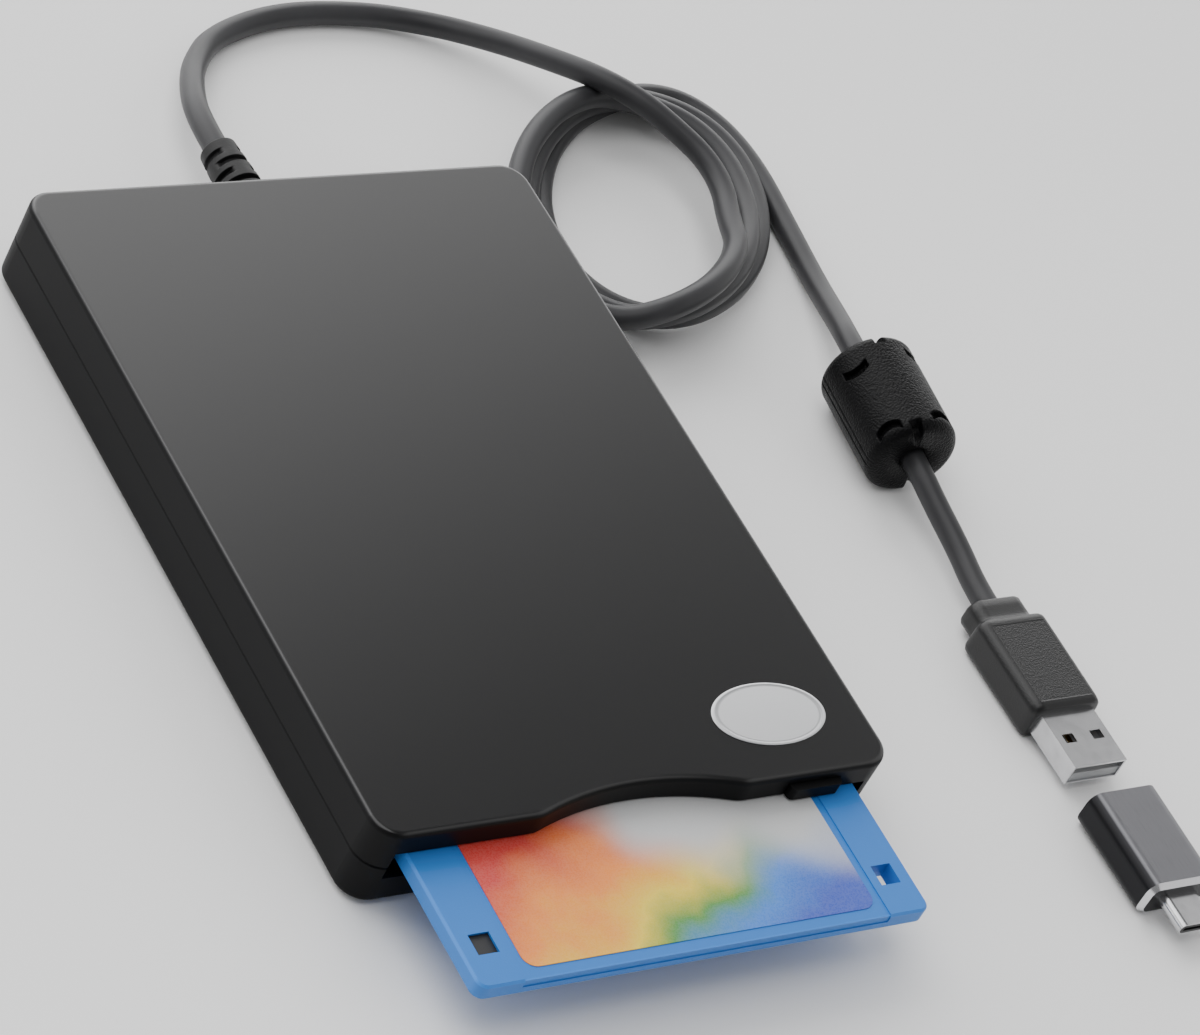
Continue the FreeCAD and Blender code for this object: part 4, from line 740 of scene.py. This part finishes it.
class FLOPPY_OT_choke(Maker, bpy.types.Operator):
    """The pebbled case of the ferrite choke"""
    bl_idname = "floppy.choke"
    bl_label = "Choke"

    CENTRE = np.array([104.987, 10.6, 8.3])
    HALF, RADIUS, BORE = 11.7, 9.0, 2.4
    MOUTH_DEEP, MOUTH_WIDE = 1.1, 0.9       # the cone at each end of the bore
    LEAN = -math.atan2(3.1, 30.4)
    SHOULDER, DROP = 2.2, 2.4
    # slots: place along the case and angle round it, in millimetres and degrees
    SLOTS = ((5.1, 36), (6.5, 126), (-8.4, 37), (-8.2, 110), (6.0, 214), (6.0, 300),
             (-7.6, 205), (-7.6, 295))
    SLOT_DEPTH, SLOT_HALF, SLOT_REACH, SLOT_BEND = 1.4, 0.95, 17.0, 0.0034
    # notches: which end, and angle round it
    NOTCHES = ((1.0, 80.0), (-1.0, 70.0), (1.0, 262.0), (-1.0, 250.0))
    NOTCH_DEPTH, NOTCH_FROM, NOTCH_REACH = 2.2, 9.3, 8.0
    SEAMS = (168.0, 348.0)
    SEAM_DEPTH, SEAM_APART, SEAM_HALF, SEAM_END = 0.3, 4.5, 1.3, 10.6

    def make(self, context):
        """Turned case with round shoulders, two seams, slots and two notches at each end.

        The radius is the case's own, less a quarter circle at each shoulder.  Slots and
        notches sink it by the product of two smooth steps, along the axis and round it,
        and a seam sinks it by a narrow dip either side of a raised band.
        """
        half, deep = self.HALF, self.HALF - self.MOUTH_DEEP
        along = np.concatenate([[-deep], np.linspace(-half, half, 360), [deep]])
        shoulder = np.clip((np.abs(along) - half + self.SHOULDER) / self.SHOULDER, 0.0, 1.0)
        outer = self.RADIUS - self.DROP * (1.0 - np.sqrt(1.0 - shoulder ** 2))
        outer[[0, -1]] = self.BORE
        outer[[1, -2]] = self.BORE + self.MOUTH_WIDE
        count = 420
        depth = self.depth(-along[:, None], np.degrees(angles(count))[None, :])
        depth[[0, 1, -2, -1]] = 0.0
        points = turned(np.column_stack([along, outer]), count)
        reach = np.hypot(points[:, :, 0], points[:, :, 2])
        shrink = 1.0 - depth / np.maximum(reach, 1e-6)
        x, z = points[:, :, 0] * shrink, points[:, :, 2] * shrink
        y = points[:, :, 1]
        cos, sin = math.cos(self.LEAN), math.sin(self.LEAN)
        case = np.stack([cos * x - sin * y, sin * x + cos * y, z], axis=-1) + self.CENTRE
        self.place(surface("choke_case", case), self.leather(), "ferrite_case",
                   slot="choke_black")
        self.cover(plain("ferrite", rgb(58, 58, 60), 0.5, 0.3, 3.0, 4.0), "ferrite_core")

    def depth(self, y, angle):
        """How far the case's skin is sunk at each distance towards +Y and angle round it."""
        depth = 0.0 * y * angle
        for middle, side in self.SLOTS:
            off = self.apart(angle, side)
            bend = self.SLOT_BEND * off ** 2 * np.sign(middle)
            width = step(self.SLOT_HALF - np.abs(y - middle - bend), 0.25)
            depth = np.maximum(depth, self.SLOT_DEPTH * step(self.SLOT_REACH - off, 2.5) * width)
        for end, side in self.NOTCHES:
            notch = (step(self.NOTCH_REACH - self.apart(angle, side), 2.0)
                     * step(end * y - self.NOTCH_FROM, 0.5))
            depth = np.maximum(depth, self.NOTCH_DEPTH * notch)
        for side in self.SEAMS:
            off = np.abs(self.apart(angle, side) - self.SEAM_APART)
            depth += (self.SEAM_DEPTH * step(self.SEAM_HALF - off, 0.8)
                      * step(self.SEAM_END - np.abs(y), 0.8))
        return depth

    def leather(self):
        """Leather grain: close pebbles with dark creases, shiny where they stand highest; the colour is painted darker
        where the fine grain lies low, a painted shade.
        """
        black = rgb(4, 4, 5)
        finish = Finish("choke_grain", black, 0.34, Specular_IOR_Level=0.12)
        spot = finish.place()
        pebbles = finish.cells(spot, 2.6, "SMOOTH_F1")
        fine = finish.noise(spot, 3.2, 4.0, 0.7)
        broad = finish.noise(spot, 0.3, 3.0)
        height = 0.7 * (1.0 - pebbles.rise(0.0, 0.9)) + 0.5 * fine
        # painted shade: the colour is darker where the fine grain lies low and paler where it stands high
        finish.set(Base_Color=finish.mix(0.6 * fine.rise(0.4, 0.7), black, rgb(16, 16, 18)),
                   Roughness=0.4 - 0.14 * fine.rise(0.45, 0.7) + 0.06 * broad,
                   Normal=finish.bump(height, 0.16, 0.8))
        return finish

    @staticmethod
    def apart(angle, side):
        """How far apart two directions are, in degrees, the shorter way round."""
        return np.abs((angle - side + 180.0) % 360.0 - 180.0)


# ---- plug and adapter

def metal(name, colour, roughness, stretch=(0.15, 6.0, 6.0), bump=0.004):
    """Plated metal with fine draw marks and faint smudges."""
    finish = Finish(name, colour, roughness, Metallic=1.0)
    marks = finish.noise(finish.place(stretch), 1.0, 4.0, 0.65)
    smudge = finish.noise(finish.place(), 0.3, 3.0)
    finish.set(Base_Color=finish.mix(smudge.rise(0.35, 0.75), colour, shade(colour, 0.86)),
               Roughness=roughness * (0.75 + 0.35 * marks + 0.25 * smudge),
               Normal=finish.bump(marks, bump, 0.35))
    return finish


class FLOPPY_OT_plug(Maker, bpy.types.Operator):
    """The moulded grip, metal shell, tongue and contacts of the plug"""
    bl_idname = "floppy.plug"
    bl_label = "Plug"

    X, Z = 104.0, 3.4
    # the grip's rectangles: distance along Y, width, height and corner radius
    SECTIONS = ((-32.5, 7.6, 4.8, 2.2), (-32.5, 10.6, 5.4, 2.2), (-32.7, 11.6, 6.1, 2.2),
                (-33.1, 12.0, 6.5, 2.3), (-34.6, 12.0, 6.5, 2.3), (-36.6, 12.0, 6.5, 2.3),
                (-37.2, 12.2, 6.6, 2.3), (-37.45, 13.0, 6.8, 2.0), (-37.5, 14.0, 7.1, 1.8),
                (-37.75, 14.9, 7.6, 1.9), (-38.2, 15.4, 8.1, 2.0), (-38.9, 15.6, 8.2, 2.1),
                (-47.0, 15.6, 8.2, 2.1), (-56.6, 15.6, 8.2, 2.1), (-57.5, 15.5, 8.1, 2.1),
                (-58.1, 15.1, 7.8, 2.0), (-58.4, 14.5, 7.2, 2.0), (-58.5, 13.6, 6.4, 2.0),
                (-58.5, 11.6, 4.2, 0.6))
    AROUND, STRIDE = 96, 0.8
    # the pebbled panel: half its width, its two ends along Y and where the top begins
    PANEL_HALF, PANEL_FRONT, PANEL_BACK, PANEL_FROM = 6.1, -57.0, -39.3, 4.0

    def make(self, context):
        """The grip, the CAD's metal and plastic, and what hangs on the cord's end."""
        self.make_grip()
        self.cover(metal("plug_nickel", rgb(214, 214, 216), 0.2, (6.0, 0.2, 6.0)),
                   "plug_shell", "adapter_usb_c_shell")
        self.cover(plain("tongue_plastic", rgb(188, 190, 192), 0.35, 0.15, 2.0),
                   "plug_insulator")
        self.cover(metal("contact_gold", rgb(212, 172, 92), 0.22), "plug_contacts")
        start = FLOPPY_OT_cord.LEAD[0] * MM
        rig.cord(bpy.data.objects["cord"], exit=start.tolist(), length=FLOPPY_OT_cord.LENGTH,
                diameter=self.cord.diameter, far_end="plug", stiffness="limp", lay="coiled",
                with_pieces=[bpy.data.objects["choke_case"], NODES["ferrite_core"],
                             bpy.data.objects["plug_grip_moulding"], NODES["plug_shell"],
                             NODES["plug_insulator"], NODES["plug_contacts"]])

    def make_grip(self):
        """Rounded rectangles carried along the plug's axis, one row to a section.

        Between the listed sections the width, height and corner run straight; the two
        ends are closed by their last rectangles.
        """
        table = np.array(self.SECTIONS)
        rows = []
        for before, after in zip(table[:-1], table[1:]):
            steps = max(1, int(abs(after[0] - before[0]) / self.STRIDE))
            rows.append(before + (after - before) * np.arange(steps)[:, None] / steps)
        rows = np.concatenate(rows + [table[-1:]])
        shape = np.stack([rounded_box(width, height, min(corner, height / 2 - 0.05), self.AROUND)
                          for _, width, height, corner in rows])
        points = np.stack([self.X - shape[:, :, 0], np.repeat(rows[:, :1], self.AROUND, axis=1),
                           self.Z + shape[:, :, 1]], axis=-1)
        self.place(surface("plug_grip_moulding", points), self.grip(), "plug_grip",
                   slot="rubber_black")

    def grip(self):
        """Black moulding, smooth round the edges and pebbled on a sunken panel on top."""
        black = self.cord.rubber
        finish = Finish("grip_plastic", black, 0.42, Specular_IOR_Level=0.45)
        spot = finish.place()
        x, y, z = finish.axes(spot)
        panel = ((self.PANEL_HALF - abs(x - self.X)).rise(0.0, 0.3)
                 * (y - self.PANEL_FRONT).rise(0.0, 0.3) * (self.PANEL_BACK - y).rise(0.0, 0.3)
                 * z.rise(self.PANEL_FROM, self.PANEL_FROM + 0.4))
        fine = finish.noise(spot, 4.5, 3.0, 0.6)
        pebbles = finish.cells(spot, 3.2)
        worn = finish.noise(spot, 0.3, 3.0)
        relief = finish.bump(1.0 - panel, 0.12, 0.9)
        finish.set(Base_Color=finish.mix(0.4 * worn, black, shade(black, 1.6)),
                   Roughness=0.36 + 0.08 * panel + 0.08 * fine,
                   Normal=finish.bump((0.3 + 0.7 * panel) * pebbles + 0.3 * fine, 0.09, 0.7,
                                      under=relief))
        return finish


class FLOPPY_OT_adapter(Maker, bpy.types.Operator):
    """The anodised adapter that fits on the plug"""
    bl_idname = "floppy.adapter"
    bl_label = "Adapter"

    CHAMFER_FROM = -97.2        # where the bright bevel starts along Y

    def make(self, context):
        """Anodised housing, brushed on top and painted lighter there as a painted highlight, bright on its cut bevel;
        dark plastic core.
        """
        black = rgb(38, 38, 40)
        housing = Finish("anodised_black", black, 0.32, Metallic=0.85)
        spot = housing.place()
        y = housing.axes(spot)[1]
        grain = housing.noise(spot, 9.0, 2.0, 0.6)
        draw = housing.noise(housing.place((5.0, 0.25, 5.0)), 1.0, 3.0)
        _, ny, nz = housing.normal()
        ahead = 0.0 - ny
        cut = (ahead.rise(0.35, 0.6) * (1.0 - ahead.rise(0.9, 0.97))
               * (self.CHAMFER_FROM - y).rise(0.0, 0.2))
        # painted highlight: faces that point up are painted lighter grey, streaked by the brushing
        brushed = nz.rise(0.8, 0.97) * (0.75 + 0.5 * draw)
        # the lighter grey is the painted highlight on top; the near white is the bare cut bevel
        housing.set(Base_Color=housing.mix(cut, housing.mix(brushed, black, rgb(128, 128, 132)),
                                           rgb(225, 225, 228)),
                    Roughness=0.24 + 0.14 * draw + 0.08 * grain - 0.12 * cut,
                    Normal=housing.bump(grain, 0.01, 0.4))
        self.cover(housing, "adapter_housing")
        self.cover(plain("adapter_plastic", rgb(20, 20, 21), 0.34, 0.2, 2.0),
                   "adapter_core", "adapter_usb_c_core")


# ---- case

class FLOPPY_OT_case(Maker, bpy.types.Operator):
    """The polished lid, satin sides and eject button"""
    bl_idname = "floppy.case"
    bl_label = "Case"

    # where the polish and the painted highlight along the top rim start and are full
    POLISH_Z, RIM_X, RIM_Y, RIM_Z = (15.4, 16.2), (50.2, 51.2), (69.6, 70.6), (15.2, 16.4)

    def make(self, context):
        self.cover(self.shell(), "upper_shell", "lower_shell", "eject_button")
        self.cover(rubber("foot_rubber", rgb(28, 28, 29), 0.03, 1.6, 0.6), "rubber_feet")

    def shell(self):
        """Black plastic: polished where it faces up, finely grained on its sides, with a painted highlight along the
        top rim and real scuffs on the sides.
        """
        black = self.case.black
        finish = Finish("case_shell", black, 0.4, Specular_IOR_Level=0.1, Coat_Roughness=0.2,
                        Coat_IOR=1.5)
        spot = finish.place()
        x, y, z = finish.axes(spot)
        nz = finish.normal()[2]
        top = nz.rise(0.6, 0.95) * z.rise(*self.POLISH_Z)
        # painted highlight: the top rim is painted lighter, broken up by the grain
        rim = abs(x).rise(*self.RIM_X).most(abs(y).rise(*self.RIM_Y)) * z.rise(*self.RIM_Z)
        grain = finish.noise(spot, 7.0, 3.0, 0.65)
        cloud = finish.noise(spot, 0.035, 3.0, 0.6)
        scuff = finish.noise(finish.place((0.4, 0.05, 0.4)), 1.0, 5.0, 0.7).rise(0.62, 0.8)
        side = 1.0 - top
        # painted highlight on the top rim plus real scuffs on the sides, both mixed towards a lighter black
        worn = 0.35 * rim * grain + 0.1 * scuff * side
        finish.set(Base_Color=finish.mix(worn, black, shade(black, 3.0)),
                   Roughness=(self.case.gloss + 0.03 * cloud) * top + (0.4 + 0.12 * grain) * side,
                   Coat_Weight=0.95 * top,
                   Normal=finish.bump(grain * side + 0.04 * grain, self.case.grain, 0.6))
        return finish


class FLOPPY_OT_badge(Maker, bpy.types.Operator):
    """The plain oval badge, slightly domed inside a raised rim"""
    bl_idname = "floppy.badge"
    bl_label = "Badge"

    X, Y, TOP = 32.2, -57.7, 16.6
    LONG, SHORT = 11.4, 6.55
    DOME, RIDGE, EDGE = 0.12, 0.1, 0.14
    RIDGE_AT, RIDGE_HALF = 0.955, 0.04      # as shares of the oval's radius

    def make(self, context):
        """Ovals from the middle outwards, then down the edge.

        The height at a share of the radius is a shallow dome, with a rounded ridge near
        the edge; the last rows drop to the case's top.
        """
        share = np.concatenate([np.linspace(0.004, 0.9, 30), np.linspace(0.905, 1.0, 26), [1.0]])
        ridge = np.clip(1.0 - np.abs(share - self.RIDGE_AT) / self.RIDGE_HALF, 0.0, 1.0)
        height = self.EDGE + self.DOME * (1.0 - share ** 2) + self.RIDGE * np.sqrt(ridge)
        height[-2:] = (0.1, 0.0)
        angle = angles(160)
        x = self.X + self.LONG * share[:, None] * np.cos(angle)
        y = self.Y + self.SHORT * share[:, None] * np.sin(angle)
        z = self.TOP + height[:, None] + 0.0 * angle
        item = surface("badge", np.stack([x, y, z], axis=-1)[::-1])
        self.place(item, self.silver(), "oval_badge", slot="badge_silver")

    def silver(self):
        """Brushed silver paint with a darker line inside the ridge."""
        silver = self.case.badge
        finish = Finish("badge_silver", silver, 0.3, Metallic=0.25, Specular_IOR_Level=0.5,
                        Coat_Weight=0.6, Coat_Roughness=0.12)
        spot = finish.place()
        x, y, _ = finish.axes(spot)
        reach = (((x - self.X) / self.LONG) ** 2.0 + ((y - self.Y) / self.SHORT) ** 2.0) ** 0.5
        line = reach.rise(0.86, 0.9) * (1.0 - reach.rise(0.93, 0.96))
        brushed = finish.noise(finish.place((0.3, 8.0, 8.0)), 1.0, 4.0, 0.6)
        cloud = finish.noise(spot, 0.25, 3.0)
        paint = finish.mix(0.3 * brushed, silver, shade(silver, 0.8))
        finish.set(Base_Color=finish.mix(0.55 * line, paint, rgb(120, 121, 124)),
                   Roughness=0.24 + 0.14 * brushed + 0.08 * cloud,
                   Normal=finish.bump(brushed, 0.004, 0.3))
        return finish


# ---- disk

class FLOPPY_OT_disk(Maker, bpy.types.Operator):
    """The disk: blue shell, printed label, shutter, hub, film, liners and tab"""
    bl_idname = "floppy.disk"
    bl_label = "Disk"

    HUB = (0.0, 48.0, 0.0)      # moves the disk's hub to the origin
    # where the painted highlight on the shell's edges starts and is full
    PALE_X, PALE_Y, PALE_Z = (44.3, 44.9), (96.9, 97.4), (11.2, 11.7)

    def make(self, context):
        self.cover(self.shell(), "disk_upper_shell", "disk_lower_shell")
        self.cover(self.label(), "disk_label")
        self.cover(metal("shutter_steel", self.disk.steel, 0.32, (0.15, 5.0, 5.0)),
                   "disk_shutter")
        self.cover(metal("hub_steel", rgb(176, 178, 182), 0.28, (4.0, 4.0, 0.4)), "disk_hub")
        self.cover(self.film(), "disk_media")
        fleece = Finish("fleece", rgb(226, 226, 222), 0.9, Sheen_Weight=0.3)
        threads = fleece.noise(fleece.place((1.0, 4.0, 4.0)), 1.4, 6.0, 0.7, warp=1.5)
        fleece.set(Base_Color=fleece.mix(threads, rgb(204, 204, 200), rgb(238, 238, 235)),
                   Roughness=0.8 + 0.15 * threads, Normal=fleece.bump(threads, 0.08))
        self.cover(fleece, "disk_liners")
        self.cover(plain("tab_plastic", rgb(26, 27, 30), 0.4, 0.2, 3.0), "write_protect_tab")

    def film(self):
        """Brown film with faint rings round the hub, as fine noise of the distance from it."""
        finish = Finish("film", rgb(52, 38, 30), 0.16, Coat_Weight=0.4, Coat_Roughness=0.08)
        x, y, _ = finish.axes(finish.place(1.0, self.HUB))
        distance = finish.node("ShaderNodeCombineXYZ", {}, {"X": (x * x + y * y) ** 0.5})
        finish.set(Roughness=0.1 + 0.16 * finish.noise(distance, 2.5, 4.0))
        return finish

    def shell(self):
        """Blue moulded plastic with a fine spark texture; its edges and sloping faces are painted paler, a painted
        highlight.
        """
        blue = self.disk.blue
        finish = Finish("disk_plastic", blue, 0.42, Specular_IOR_Level=0.4)
        spot = finish.place()
        x, y, z = finish.axes(spot)
        nz = finish.normal()[2]
        spark = finish.noise(spot, 3.2, 4.0, 0.65)
        cloud = finish.noise(spot, 0.05, 3.0)
        # painted highlight: the shell's outer edges are painted paler
        edge = abs(x).rise(*self.PALE_X).most((0.0 - y).rise(*self.PALE_Y))
        edge *= z.rise(*self.PALE_Z)
        # painted highlight: faces that slope part way up are painted paler
        slope = nz.rise(0.3, 0.6) * (1.0 - nz.rise(0.8, 0.95))
        pale = tuple(min(1.0, 1.4 * c + 0.02) for c in blue)
        finish.set(Base_Color=finish.mix(0.55 * edge.most(slope) + 0.14 * cloud, blue, pale),
                   Roughness=0.34 + 0.14 * spark + 0.06 * cloud,
                   Normal=finish.bump(spark, 0.03, 0.7))
        return finish

    def label(self):
        """Coated paper, printed with a plain soft band of colours and a fine raster."""
        finish = Finish("label_print", rgb(205, 205, 202), 0.35, Coat_Weight=0.25,
                        Coat_Roughness=0.25)
        spot = finish.place()
        x, y, _ = finish.axes(spot)
        soft = finish.noise(spot, 0.045, 1.0, 0.4)
        swell = finish.noise(spot, 0.16, 2.0, 0.5)
        band = (x * -0.011 + (y + 84.0) * 0.014 + 0.5) + 0.5 * (soft - 0.5) + 0.12 * (swell - 0.5)
        hues = finish.node("ShaderNodeValToRGB", {"stops": (
            (0.08, rgb(0, 62, 180)), (0.27, rgb(10, 116, 212)), (0.42, rgb(66, 140, 34)),
            (0.55, rgb(236, 204, 0)), (0.70, rgb(244, 134, 0)), (0.88, rgb(206, 28, 8)))},
            {"Fac": band})
        fade = (y + 0.35 * x + 30.0 * (soft - 0.5)).rise(-80.0, -64.0)
        dots = finish.cells(spot, 3.4).rise(0.1, 0.75)
        lines = finish.noise(finish.place((0.15, 4.0, 4.0)), 1.0, 3.0, 0.7)
        ink = finish.mix(fade, hues, rgb(198, 199, 200))
        lit = finish.mix(0.05 * dots + 0.04 * lines, ink, rgb(250, 250, 246))
        finish.set(Base_Color=lit, Roughness=0.28 + 0.12 * lines + 0.06 * dots,
                   Normal=finish.bump(lines + 0.4 * dots, 0.006, 0.4))
        return finish


# ---- mechanism

class FLOPPY_OT_mechanism(Maker, bpy.types.Operator):
    """The steel, motor and head parts inside the case"""
    bl_idname = "floppy.mechanism"
    bl_label = "Mechanism"

    SCREW, SPINDLE = (-13.0, 0.0, -5.1), (0.0, 20.7, 0.0)      # move these to the origin
    THREAD_LEAD = 3.0

    def make(self, context):
        self.cover(metal("zinc_sheet", rgb(158, 161, 165), 0.34, (5.0, 0.3, 5.0)), "chassis",
                   "disk_holder", "ejector_plate", "head_arm", "stepper_motor", "rotor_cup")
        self.cover(metal("ground_steel", rgb(196, 198, 202), 0.18, (6.0, 0.4, 6.0)),
                   "guide_rod", "spindle_shaft", "spindle_bearing", "drive_pin",
                   "case_screws", "mechanism_screws")
        self.cover(self.thread(), "lead_screw")
        magnet = plain("magnet", rgb(44, 43, 45), 0.45, 0.3, 4.0, 4.0)
        magnet.set(Normal=magnet.bump(magnet.noise(magnet.place(), 6.0, 3.0), 0.02))
        self.cover(magnet, "rotor_magnet")
        self.cover(self.lamination(), "spindle_stator")
        self.cover(self.winding(), "stator_coils")
        self.cover(plain("carriage_plastic", rgb(74, 76, 80), 0.44, 0.16, 3.0, 4.0, 0.6, 0.02),
                   "head_carriage")
        self.cover(plain("head_ceramic", rgb(58, 60, 66), 0.06, 0.12, 2.0, 4.0,
                         Coat_Weight=0.5, Coat_Roughness=0.05), "lower_head", "upper_head")

    def thread(self):
        """Steel whose thread of 3 mm lead shows as a slanting ridge, with painted shade that darkens its grooves."""
        finish = Finish("screw_thread", rgb(186, 188, 192), 0.22, Metallic=1.0)
        x, y, z = finish.axes(finish.place(1.0, self.SCREW))
        turn = finish.number("ARCTAN2", z, x) / (2.0 * math.pi)
        phase = (y / self.THREAD_LEAD + turn).math("FRACT")
        groove = abs(phase - 0.5) * 2.0
        # painted shade: the thread's grooves are painted dark grey
        finish.set(Base_Color=finish.mix(groove, rgb(206, 208, 212), rgb(92, 93, 97)),
                   Roughness=0.16 + 0.2 * groove, Normal=finish.bump(1.0 - groove, 0.25))
        return finish

    def lamination(self):
        """Stacked sheet steel: fine level lines."""
        finish = Finish("lamination", rgb(120, 121, 124), 0.4, Metallic=0.9)
        z = finish.axes(finish.place())[2]
        lines = (z * 4.0).math("FRACT").rise(0.1, 0.3)
        finish.set(Roughness=0.34 + 0.16 * lines, Normal=finish.bump(lines, 0.05))
        return finish

    def winding(self):
        """Enamelled wire wound across each tooth: ridges that count the distance outward, with painted shade that
        darkens the gaps between the wires.
        """
        finish = Finish("copper_wire", rgb(186, 98, 48), 0.28, Metallic=0.85, Coat_Weight=0.5,
                        Coat_Roughness=0.15)
        x, y, _ = finish.axes(finish.place(1.0, self.SPINDLE))
        wire = ((x * x + y * y) ** 0.5 * 3.2).math("FRACT")
        ridge = 1.0 - abs(wire - 0.5) * 2.0
        # painted shade: darker copper between the wires, the brighter copper on their crowns
        finish.set(Base_Color=finish.mix(ridge, rgb(104, 46, 22), rgb(206, 118, 62)),
                   Normal=finish.bump(ridge, 0.12))
        return finish


class FLOPPY_OT_boards(Maker, bpy.types.Operator):
    """The circuit boards, chips and the cord's header"""
    bl_idname = "floppy.boards"
    bl_label = "Boards"

    def make(self, context):
        board = Finish("board_green", rgb(18, 84, 52), 0.3, Coat_Weight=0.4, Coat_Roughness=0.2)
        spot = board.place()
        tracks = board.cells(board.place((0.55, 0.55, 0.0)), 1.0, "DISTANCE_TO_EDGE", 0.25)
        line = 1.0 - tracks.rise(0.05, 0.09)
        holes = 1.0 - board.cells(board.place((0.3, 0.3, 0.0)), 1.0).rise(0.1, 0.14)
        weave = board.noise(spot, 1.5, 3.0)
        green = board.mix(line, rgb(14, 70, 44), rgb(34, 118, 72))
        board.set(Base_Color=board.mix(holes, green, rgb(178, 174, 150)),
                  Roughness=0.24 + 0.14 * weave, Normal=board.bump(line + holes, 0.03))
        self.cover(board, "main_board", "motor_board", "interface_board")
        self.cover(plain("chip_epoxy", rgb(24, 24, 26), 0.5, 0.16, 5.0, 4.0, 0.7, 0.015),
                   "board_chips")
        header = Finish("header_plastic", rgb(224, 222, 212), 0.45)
        cloud = header.noise(header.place(), 0.8, 3.0)
        header.set(Base_Color=header.mix(cloud, rgb(214, 212, 200), rgb(232, 230, 222)),
                   Roughness=0.4 + 0.12 * cloud)
        self.cover(header, "cord_header")


# ---- panel

class FLOPPY_PT_looks(bpy.types.Panel):
    """Lists the pieces and their sizes and colours"""
    bl_idname = "FLOPPY_PT_looks"
    bl_label = "Floppy Drive"
    bl_space_type = "VIEW_3D"
    bl_region_type = "UI"
    bl_category = "Floppy Drive"

    def draw(self, context):
        for name, settings in SETTINGS.items():
            box = self.layout.box()
            group = getattr(context.scene, name)
            for row in settings.__annotations__:
                box.prop(group, row)
        for operator in OPERATORS:
            self.layout.operator(operator.bl_idname)


OPERATORS = [value for name, value in list(globals().items()) if name.startswith("FLOPPY_OT_")]
CLASSES = [*SETTINGS.values(), *OPERATORS, FLOPPY_PT_looks]


def register():
    for each in CLASSES:
        bpy.utils.register_class(each)
    for name, settings in SETTINGS.items():
        setattr(bpy.types.Scene, name, bpy.props.PointerProperty(type=settings))


def unregister():
    for name in SETTINGS:
        delattr(bpy.types.Scene, name)
    for each in reversed(CLASSES):
        bpy.utils.unregister_class(each)


def main():
    register()
    for operator in OPERATORS:
        group, name = operator.bl_idname.split(".")
        getattr(getattr(bpy.ops, group), name)()
    box = lambda corners: [[float(x) for x in corner] for corner in corners]
    with open("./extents.json", "w") as out:
        json.dump({"cad": box(CAD_BOX), "visual": box(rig.bounds())}, out)


if __name__ == "__main__":
    main()
